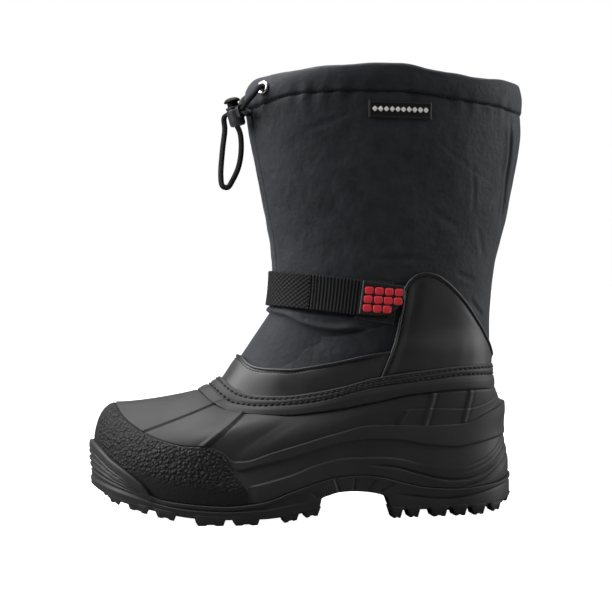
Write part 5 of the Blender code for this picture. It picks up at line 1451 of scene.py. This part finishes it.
def straight(start, end):
    """A straight run from one value at 0 to another at 1."""
    return lambda t: start + (end - start) * t


def dappled(height, size, seed, count, edge_height, edge_radius, plain=0.0):
    """A patch's relief: a random dapple, plain near the edge, and a rounded edge."""
    def relief_of(x, z, from_edge):
        dapple = height * waves(np.stack([x, z, 0 * x], -1), size, seed, count)
        fade = ease(0.3, plain, from_edge) if plain else 1
        return dapple * fade - edge_height * (1 - rounded(from_edge, edge_radius))

    return relief_of


# Loop tape: a fuzz of fine nylon loops, quite matt
loop_tape, tree, shader = principled("loop_tape", "#121214", 0.9, Sheen_Weight=0.4, Sheen_Roughness=0.5)
mottled(tree, shader, "#0f0f11", "#18181b", 3, 0.85, 0.95)
grain(tree, shader, 0.8, 0.4, detail=5.0)
LOOP_PAD_SIDES = (straight(24.5, 26.5), straight(52.5, 55.5), straight(141.6, 137.2), straight(164, 160.5))
side_patch("loop_tape_pad", LOOP_PAD_SIDES, 1.1, 0.8, (50, 64), loop_tape, "loop_pad",
           dappled(0.25, 1.7, 51, 30, 0.4, 0.6, plain=1))

# The tab: black moulded rubber with a raised frame, and plain cushions of red rubber set in it
BADGE_LEFT = (27.0, 30.3)
BADGE_RIGHT = 59.6
# By the share of the way to the right: the lower edge and the upper one
BADGE_EDGES = [(0.0, 144.4, 168.4), (0.4, 143.4, 166.9), (0.6, 144.2, 166.1), (0.75, 146.5, 165.5),
               (0.88, 150.5, 165.0), (1.0, 156.5, 164.4)]
BADGE_BASE = STRAP_LOOSE + STRAP_THICKNESS + 0.25
BADGE_THICKNESS = 1.3
FRAME_INSET = 1.5

# Soft PVC, moulded in two colours: even colour, a soft gloss, slightly rounded edges
black_pvc, tree, shader = principled("moulded_black_pvc", "#161718", 0.4)
grain(tree, shader, 0.9, 0.03)
red_pvc, tree, shader = principled("moulded_red_pvc", "#de2e3a", 0.42)
mottled(tree, shader, "#d62b36", "#e63440", 5, 0.38, 0.48)
grain(tree, shader, 0.9, 0.03)


badge_sides = (straight(*BADGE_LEFT), straight(BADGE_RIGHT, BADGE_RIGHT),
               lambda t: smooth(BADGE_EDGES, t, 1), lambda t: smooth(BADGE_EDGES, t, 2))
# A raised frame just inside the edge, and the edge itself rounded over
side_patch("badge_tab", badge_sides, BADGE_BASE + BADGE_THICKNESS, BADGE_THICKNESS, (64, 84), black_pvc,
           "strap_badge", lambda x, z, from_edge: (0.35 * ridge(from_edge - FRAME_INSET, 0.45)
                                                   - 0.7 * (1 - rounded(from_edge, 0.7))))

# A cushion from its foot to its top: share of its width, share of its height
CUSHION_RINGS = np.array([(1.0, -0.35), (1.0, 0.1), (0.93, 0.42), (0.78, 0.58), (0.45, 0.66), (0.12, 0.68)])
CUSHION_SIDES = 40


def lozenge(count, power):
    """u and v of points round a diamond or square with rounded corners: |u|^power + |v|^power = 1."""
    turn = once_round(count)
    return [np.sign(way) * np.abs(way) ** (2 / power) for way in (np.cos(turn), np.sin(turn))]


def cushions(name, centres, half_wide, half_tall, power, base, height, finish):
    """Domed lozenges on the outer side, each a stack of rings that shrink as they rise."""
    u, v = lozenge(CUSHION_SIDES, power)
    centres = np.array(centres)[:, None, None]
    size, rise = CUSHION_RINGS[:, 0, None], CUSHION_RINGS[:, 1, None]
    x = centres[..., 0] + half_wide * size * u
    z = centres[..., 1] + half_tall * size * v
    points = lifted(*place(x, z), base + height * rise + 0 * x)
    faces = copies(points, tube_faces(len(CUSHION_RINGS), CUSHION_SIDES))
    return make_piece(name, points, faces, finish)


lozenges = [(32.8 + 0.8 * row + 7.0 * column, 148.6 + 6.3 * row - 0.5 * column)
            for row, full in enumerate((3, 4, 4)) for column in range(full)]
cushions("badge_cushions", lozenges, 3.0, 2.7, 4.0, BADGE_BASE + BADGE_THICKNESS, 0.75, red_pvc)

# -------------------------------------------------------------- label
# A woven label is sewn on just under the casing, with a border in grey thread and a plain row of diamonds.

# Satin-woven polyester ribbon: fine floats give it a low silky gloss along its length
satin_ribbon, tree, shader = principled("satin_ribbon", "#0d0d0f", 0.38, Anisotropic=0.4,
                                        Specular_IOR_Level=0.5)
uv = add(tree, "UVMap", uv_map="along_the_cloth")
floats = add(tree, "Mapping", Vector=uv.outputs["UV"], Scale=(0.25, 2.4, 1.0))
relief(tree, shader, add(tree, "TexNoise", Vector=floats.outputs[0], Scale=1.0, Detail=2.0).outputs[0], 0.06)
grey_thread, tree, shader = principled("grey_thread", "#2c2930", 0.6)
grain(tree, shader, 0.5, 0.05)
white_thread, tree, shader = principled("white_embroidery", "#e9e7e6", 0.55, Sheen_Weight=0.2)
grain(tree, shader, 0.4, 0.06)

LABEL_LIFT = 1.25
BORDER_STITCH = (1.25, 1.05, 0.22)
LABEL_SIDES = (straight(33.6, 33.6), straight(79, 79), straight(283, 282.4), straight(295.2, 294.6))
side_patch("satin_label", LABEL_SIDES, LABEL_LIFT, 0.7, (40, 130), satin_ribbon, "woven_label",
           dappled(0.12, 14, 61, 20, 0.35, 0.5))

# The grey border, a row of stitches along each side: the ends of the row in x and in z
LABEL_BORDERS = {
    "low": ((34.8, 77.8), (284.1, 283.5)), "high": ((34.8, 77.8), (294.0, 293.4)),
    "front": ((34.8, 34.8), (284.6, 293.6)), "rear": ((77.8, 77.8), (284.0, 293.0))}
for row, (x_ends, z_ends) in LABEL_BORDERS.items():
    angle, level = place(np.linspace(*x_ends, 60), np.linspace(*z_ends, 60))
    path, out = over_form(np.degrees(angle), level, LABEL_LIFT - 0.05)
    stitches(f"label_border_{row}", path, out, BORDER_STITCH, "woven_label", grey_thread)
diamonds = [(37.9 + 4.1 * k, 289.25 - 0.05 * k) for k in range(10)]
cushions("label_diamonds", diamonds, 1.8, 1.9, 1.3, LABEL_LIFT, 0.3, white_thread)

# ------------------------------------------------------------ eyelets
# Two brass eyelets, pressed and nickel plated, let the drawcord out of the casing at the front.

EYELET_X = -37.0
EYELET_Z = 305.0
EYELET_SEGMENTS = 48
# The flange's section: radius, height over the cloth
EYELET_RINGS = [(2.5, -0.6), (3.2, -0.75), (4.9, 0.0), (5.05, 0.35), (4.8, 0.75), (4.2, 1.05), (3.5, 1.15),
                (2.9, 0.95), (2.55, 0.5), (2.45, 0.0)]

# Nickel plate on pressed brass: bright, a little warm, with fine rubbing marks
nickel, tree, shader = principled("nickel_plate", "#d9d5d2", 0.2, Metallic=1.0)
mottled(tree, shader, "#cfcac7", "#e2dfdc", 2.5, 0.16, 0.28)
grain(tree, shader, 1.3, 0.03)


def eyelet_frame(side):
    """Centre and outward normal of an eyelet on the casing."""
    angle, level = place(np.array([EYELET_X]), np.array([EYELET_Z]), side)
    centre = lifted(angle, level, CASING_STEP + 0.7)[0]
    normal = centre - lifted(angle, level, 0.0)[0]
    return Vector(centre), Vector(normal).normalized()


def turned_rings(profile, origin, axis, segments):
    """Rings about an axis, from radius and height pairs."""
    axis = np.array(axis)
    side = np.array(Vector(axis).orthogonal().normalized())
    across = np.cross(axis, side)
    turn = once_round(segments)[None, :, None]
    profile = np.array(profile)
    return (np.array(origin) + axis * profile[:, 1, None, None]
            + profile[:, 0, None, None] * (np.cos(turn) * side + np.sin(turn) * across))


for side, sided in ((-1, "lateral"), (1, "medial")):
    rings = turned_rings(EYELET_RINGS, *eyelet_frame(side), EYELET_SEGMENTS)
    make_piece(f"nickel_eyelet_{sided}", rings, closed_faces(*rings.shape[:2]), nickel, (f"eyelet_{sided}",))

# ---------------------------------------------------------- cord lock
# A spring cord lock of glossy moulded nylon: a barrel with a boss for the cord's ways through it, and a
# plunger with a round cap. Pressing the cap lines up the two ways and frees the cord.

CORD_DIAMETER = 2.8
LOCK_BOTTOM = Vector((-54.0, -8.0, 279.4))
LOCK_TOP_DIRECTION = Vector((-0.252, 0.0, 0.968))
LOCK_ENTRY = Vector((0.5, -0.85, 0.0))
LOCK_GAP = 0.3
BARREL_RADIUS = 5.8
BARREL_LENGTH = 14.0
BARREL_FLOOR = 1.5
BORE_RADIUS = 4.3
PLUNGER_RADIUS = 4.0
PLUNGER_TRAVEL = 3.0
CAP_RADIUS = 6.0
CAP_DOME = 3.4
SLOT_WIDTH = 3.5
WAY_REACH = 14.5
BOSS_START = 2.0
BOSS_LENGTH = 6.4
BOSS_WALL = 1.3
BOSS_POWER = 2 / 0.55
LOWER_CORD = 7.7
UPPER_CORD = 10.9
LOCK_SEGMENTS = 72

# Moulded polyamide from a polished mould: hard, glossy, with faint flow marks
moulded_nylon, tree, shader = principled("polished_polyamide", "#2c2c30", 0.3, Specular_IOR_Level=0.7)
mottled(tree, shader, "#28282c", "#333338", 4, 0.24, 0.36)
grain(tree, shader, 2.0, 0.03)

# The plunger is a darker batch of the same plastic, dulled by fingers
dark_cap, tree, shader = principled("handled_polyamide", "#060608", 0.5, Specular_IOR_Level=0.15)
grain(tree, shader, 2.0, 0.03)

lock_axis = LOCK_TOP_DIRECTION.normalized()
lock_entry = (LOCK_ENTRY - lock_axis * LOCK_ENTRY.dot(lock_axis)).normalized()
lock_across = lock_axis.cross(lock_entry)


def blank(name, points, faces):
    """A bare mesh object in metres with its faces turned outwards."""
    mesh = bpy.data.meshes.new(name)
    mesh.from_pydata((np.array(points) * MM).tolist(), [], faces)
    part = linked(name, mesh)
    work = bmesh.new()
    work.from_mesh(mesh)
    bmesh.ops.recalc_face_normals(work, faces=work.faces)
    work.to_mesh(mesh)
    work.free()
    return part


def lock_piece(name, profile):
    """A solid turned about the lock's axis, closed with a disc at each end, as a bare object for cutting."""
    rings = turned_rings(profile, LOCK_BOTTOM, lock_axis, LOCK_SEGMENTS)
    faces = grid_faces(len(rings), LOCK_SEGMENTS, round_columns=True).tolist()
    end = (len(rings) - 1) * LOCK_SEGMENTS
    faces += [list(range(LOCK_SEGMENTS))[::-1], [end + k for k in range(LOCK_SEGMENTS)]]
    return blank(name, rings.reshape(-1, 3), faces)


def prism(name, outline, direction, depth):
    """An outline of points carried along a direction."""
    count = len(outline)
    points = outline + [p + direction * depth for p in outline]
    faces = [list(range(count)), list(range(2 * count - 1, count - 1, -1))]
    faces += [[k, (k + 1) % count, (k + 1) % count + count, k + count] for k in range(count)]
    return blank(name, points, faces)


def combined(part, tool, operation):
    """Join the part with the tool or cut it by a Boolean, and remove the tool."""
    cut = part.modifiers.new("cut", "BOOLEAN")
    cut.operation = operation
    cut.object = tool
    cut.solver = "EXACT"
    bpy.context.view_layer.update()
    result = bpy.data.meshes.new_from_object(part.evaluated_get(bpy.context.evaluated_depsgraph_get()))
    part.modifiers.remove(cut)
    part.data = result
    bpy.data.objects.remove(tool)


def finished_lock_part(part, body, stands_for, finish):
    """Round the part's edges, smooth its faces and let it ride."""
    part.data.materials.clear()
    part.data.materials.append(finish)
    part.data.shade_smooth()
    soft_edges(part, 0.25, 35).harden_normals = True
    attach(part, body)
    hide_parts(stands_for)


def slot_cutter(low, high):
    """The cord's way across the lock, between two heights on its axis."""
    corners = [LOCK_BOTTOM + lock_axis * height + lock_across * side * SLOT_WIDTH / 2 - lock_entry * WAY_REACH
               for height, side in ((low, -1), (low, 1), (high, 1), (high, -1))]
    return prism("way", corners, lock_entry, 2 * WAY_REACH)


room = CORD_DIAMETER / 2 + LOCK_GAP
slot_low, slot_high = LOWER_CORD - room, UPPER_CORD + room
# The barrel's outside: draw-in from its radius, height. A shallow groove runs round it near the top
barrel = lock_piece("lock_barrel", [(BARREL_RADIUS - inset, height) for inset, height in (
    (1.5, 0), (0.5, 0.45), (0.1, 1.6), (0, 3.4), (0, BARREL_LENGTH - 2.6), (0.35, BARREL_LENGTH - 2.2),
    (0.35, BARREL_LENGTH - 1.5), (0, BARREL_LENGTH - 1.2), (0, BARREL_LENGTH - 0.3), (0.4, BARREL_LENGTH))])
middle = LOCK_BOTTOM + lock_axis * (LOWER_CORD + UPPER_CORD) / 2 + lock_entry * BOSS_START
half_tall, half_wide = (slot_high - slot_low) / 2 + BOSS_WALL, SLOT_WIDTH / 2 + BOSS_WALL
boss_outline = [middle + lock_axis * float(u) * half_tall + lock_across * float(v) * half_wide
                for u, v in zip(*lozenge(40, BOSS_POWER))]
combined(barrel, prism("boss", boss_outline, lock_entry, BOSS_LENGTH), "UNION")
bore = lock_piece("bore", [(BORE_RADIUS, BARREL_FLOOR), (BORE_RADIUS, BARREL_LENGTH + 5)])
combined(barrel, bore, "DIFFERENCE")
combined(barrel, slot_cutter(slot_low, slot_high), "DIFFERENCE")
finished_lock_part(barrel, "boot", "cord_lock_barrel", moulded_nylon)

plunger_foot = BARREL_FLOOR + PLUNGER_TRAVEL + LOCK_GAP
under_cap = BARREL_LENGTH + PLUNGER_TRAVEL + LOCK_GAP
plunger = lock_piece("lock_plunger_piece", [
    (PLUNGER_RADIUS - 0.3, plunger_foot), (PLUNGER_RADIUS, plunger_foot + 0.3), (PLUNGER_RADIUS, under_cap),
    (CAP_RADIUS - 0.6, under_cap), (CAP_RADIUS - 0.1, under_cap + 0.25), (CAP_RADIUS, under_cap + 0.7),
    (CAP_RADIUS - 0.2, under_cap + 1.2), (CAP_RADIUS * 0.86, under_cap + 2.0),
    (CAP_RADIUS * 0.66, under_cap + 2.8), (CAP_RADIUS * 0.4, under_cap + 3.25),
    (CAP_RADIUS * 0.15, under_cap + CAP_DOME)])
combined(plunger, slot_cutter(slot_low, slot_high + PLUNGER_TRAVEL), "DIFFERENCE")
finished_lock_part(plunger, "lock_plunger", "cord_lock_plunger", dark_cap)

# ----------------------------------------------------------- drawcord
# An elastic cord with a braided cover runs out of the outer eyelet, through the lock, down into one loop,
# back through the lock and into the inner eyelet.

LATERAL_POINTS = [(-45, -25.5, 300.5), (-50, -21.5, 294.5)]
LOOP_POINTS = [
    (-62.9, 2.8, 286.2), (-62.3, 4, 278), (-64.2, 2, 263), (-65.8, -1, 243), (-64.6, -1.8, 236.5),
    (-61, -1.8, 235.6), (-57.2, -1.4, 241), (-52.7, 0, 251), (-50.6, 1.6, 264), (-51.4, 3.2, 276),
    (-54.6, 3.9, 282.4)]
MEDIAL_POINTS = [
    (-48.4, -18.2, 287), (-46.2, -13.6, 288.8), (-50.2, -3.5, 292.2), (-50.6, 5, 295.4), (-48.2, 14.5, 299.5),
    (-44.5, 23.8, 303.5)]
CORD_SIDES = 24
# How much thicker the cord is where nothing grips it, and the width of a strand round it
CORD_RELAXED = 1.2
STRAND_PITCH = math.pi * CORD_DIAMETER / 8

# Polyester braid over rubber threads: a close diagonal braid with a slight sheen, its strands 0.5 mm wide
# drawn at 0.9 mm, with painted shade between them
braided_polyester, tree, shader = principled("braided_polyester", "#121215", 0.72, Specular_IOR_Level=0.3)
girth_length, run_length = cloth_lengths(tree)
slanted = [add(tree, "Math", operation=kind, i0=girth_length, i1=run_length) for kind in ("ADD", "SUBTRACT")]
left_strands, right_strands = (thread_wave(tree, way.outputs[0], STRAND_PITCH) for way in slanted)
braid = add(tree, "Math", operation="MULTIPLY", i0=left_strands, i1=right_strands)
relief(tree, shader, braid.outputs[0], 0.14)
# Painted shade: the base colour darkens between the strands and lightens on their crowns
coloured(tree, shader, braid.outputs[0], -1.0, 1.0, "#08080a", "#17171b")


def cord_route():
    """Points of the drawcord from the lateral eyelet through the lock, round the loop and back."""
    lateral, lateral_normal = eyelet_frame(-1)
    medial, medial_normal = eyelet_frame(1)
    upper_way = LOCK_BOTTOM + lock_axis * UPPER_CORD
    lower_way = LOCK_BOTTOM + lock_axis * LOWER_CORD
    return [lateral + lateral_normal * 0.2, lateral + lateral_normal * 3.0,
            *map(Vector, LATERAL_POINTS),
            *(upper_way + lock_entry * reach for reach in (9.8, 3, -3, -7)),
            *map(Vector, LOOP_POINTS),
            *(lower_way + lock_entry * reach for reach in (-7.4, -3, 3, 9.8)),
            *map(Vector, MEDIAL_POINTS),
            medial + medial_normal * 3.0, medial + medial_normal * 0.2]


def eased_route(points, spacing):
    """A Catmull-Rom curve through the points, sampled evenly."""
    padded = [points[0] * 2 - points[1]] + points + [points[-1] * 2 - points[-2]]
    dense = []
    for a, b, c, d in zip(padded, padded[1:], padded[2:], padded[3:]):
        knots = [0.0]
        for p, q in ((a, b), (b, c), (c, d)):
            knots.append(knots[-1] + math.sqrt((q - p).length))
        for k in range(12):
            t = knots[1] + (knots[2] - knots[1]) * k / 12
            ab = a.lerp(b, t / knots[1])
            bc = b.lerp(c, (t - knots[1]) / (knots[2] - knots[1]))
            cd = c.lerp(d, (t - knots[2]) / (knots[3] - knots[2]))
            abc = ab.lerp(bc, t / knots[2])
            bcd = bc.lerp(cd, (t - knots[1]) / (knots[3] - knots[1]))
            dense.append(abc.lerp(bcd, (t - knots[1]) / (knots[2] - knots[1])))
    dense.append(points[-1])
    return evenly(np.array(dense), spacing)[0]


def carried(path):
    """Directions out of and across a path that turn with it as little as they can, without twisting."""
    along = unit(np.gradient(path, axis=0))
    out = [np.cross(along[0], (0.3, 1.0, 0.2))]
    for way in along[1:]:
        out.append(out[-1] - way * out[-1].dot(way))
        out[-1] /= np.linalg.norm(out[-1])
    out = unit(np.array(out))
    return out, np.cross(along, out)


route = eased_route(cord_route(), 0.8)
out, across = carried(route)
turn = once_round(CORD_SIDES)[None, :, None]
lock_centre = np.array(LOCK_BOTTOM + lock_axis * (LOWER_CORD + UPPER_CORD) / 2)
to_lock = np.linalg.norm(route - lock_centre, axis=1)
to_exit = np.minimum(np.linalg.norm(route - route[0], axis=1), np.linalg.norm(route - route[-1], axis=1))
free = ease(9.5, 13, to_lock) * ease(0.5, 5, to_exit)
thick = (CORD_DIAMETER + CORD_RELAXED * free)[:, None, None]
rings = route[:, None] + thick / 2 * (np.cos(turn) * out[:, None] + np.sin(turn) * across[:, None])
rings = np.concatenate([route[:1, None] + 0.02 * (rings[:1] - route[:1, None]), rings,
                        route[-1:, None] + 0.02 * (rings[-1:] - route[-1:, None])])
cord_length = np.linalg.norm(np.diff(route, axis=0), axis=1).sum()
run = np.concatenate([[0], np.linspace(0, cord_length, len(route)), [cord_length]])
girth = np.linspace(0, math.pi * CORD_DIAMETER, CORD_SIDES, endpoint=False)
uv = np.stack(np.meshgrid(run, girth, indexing="ij"), axis=-1)[..., ::-1]
cord = make_piece("braided_cord", rings, tube_faces(len(rings), CORD_SIDES), braided_polyester, ("drawcord",),
                  uv=uv, uv_round=math.pi * CORD_DIAMETER)
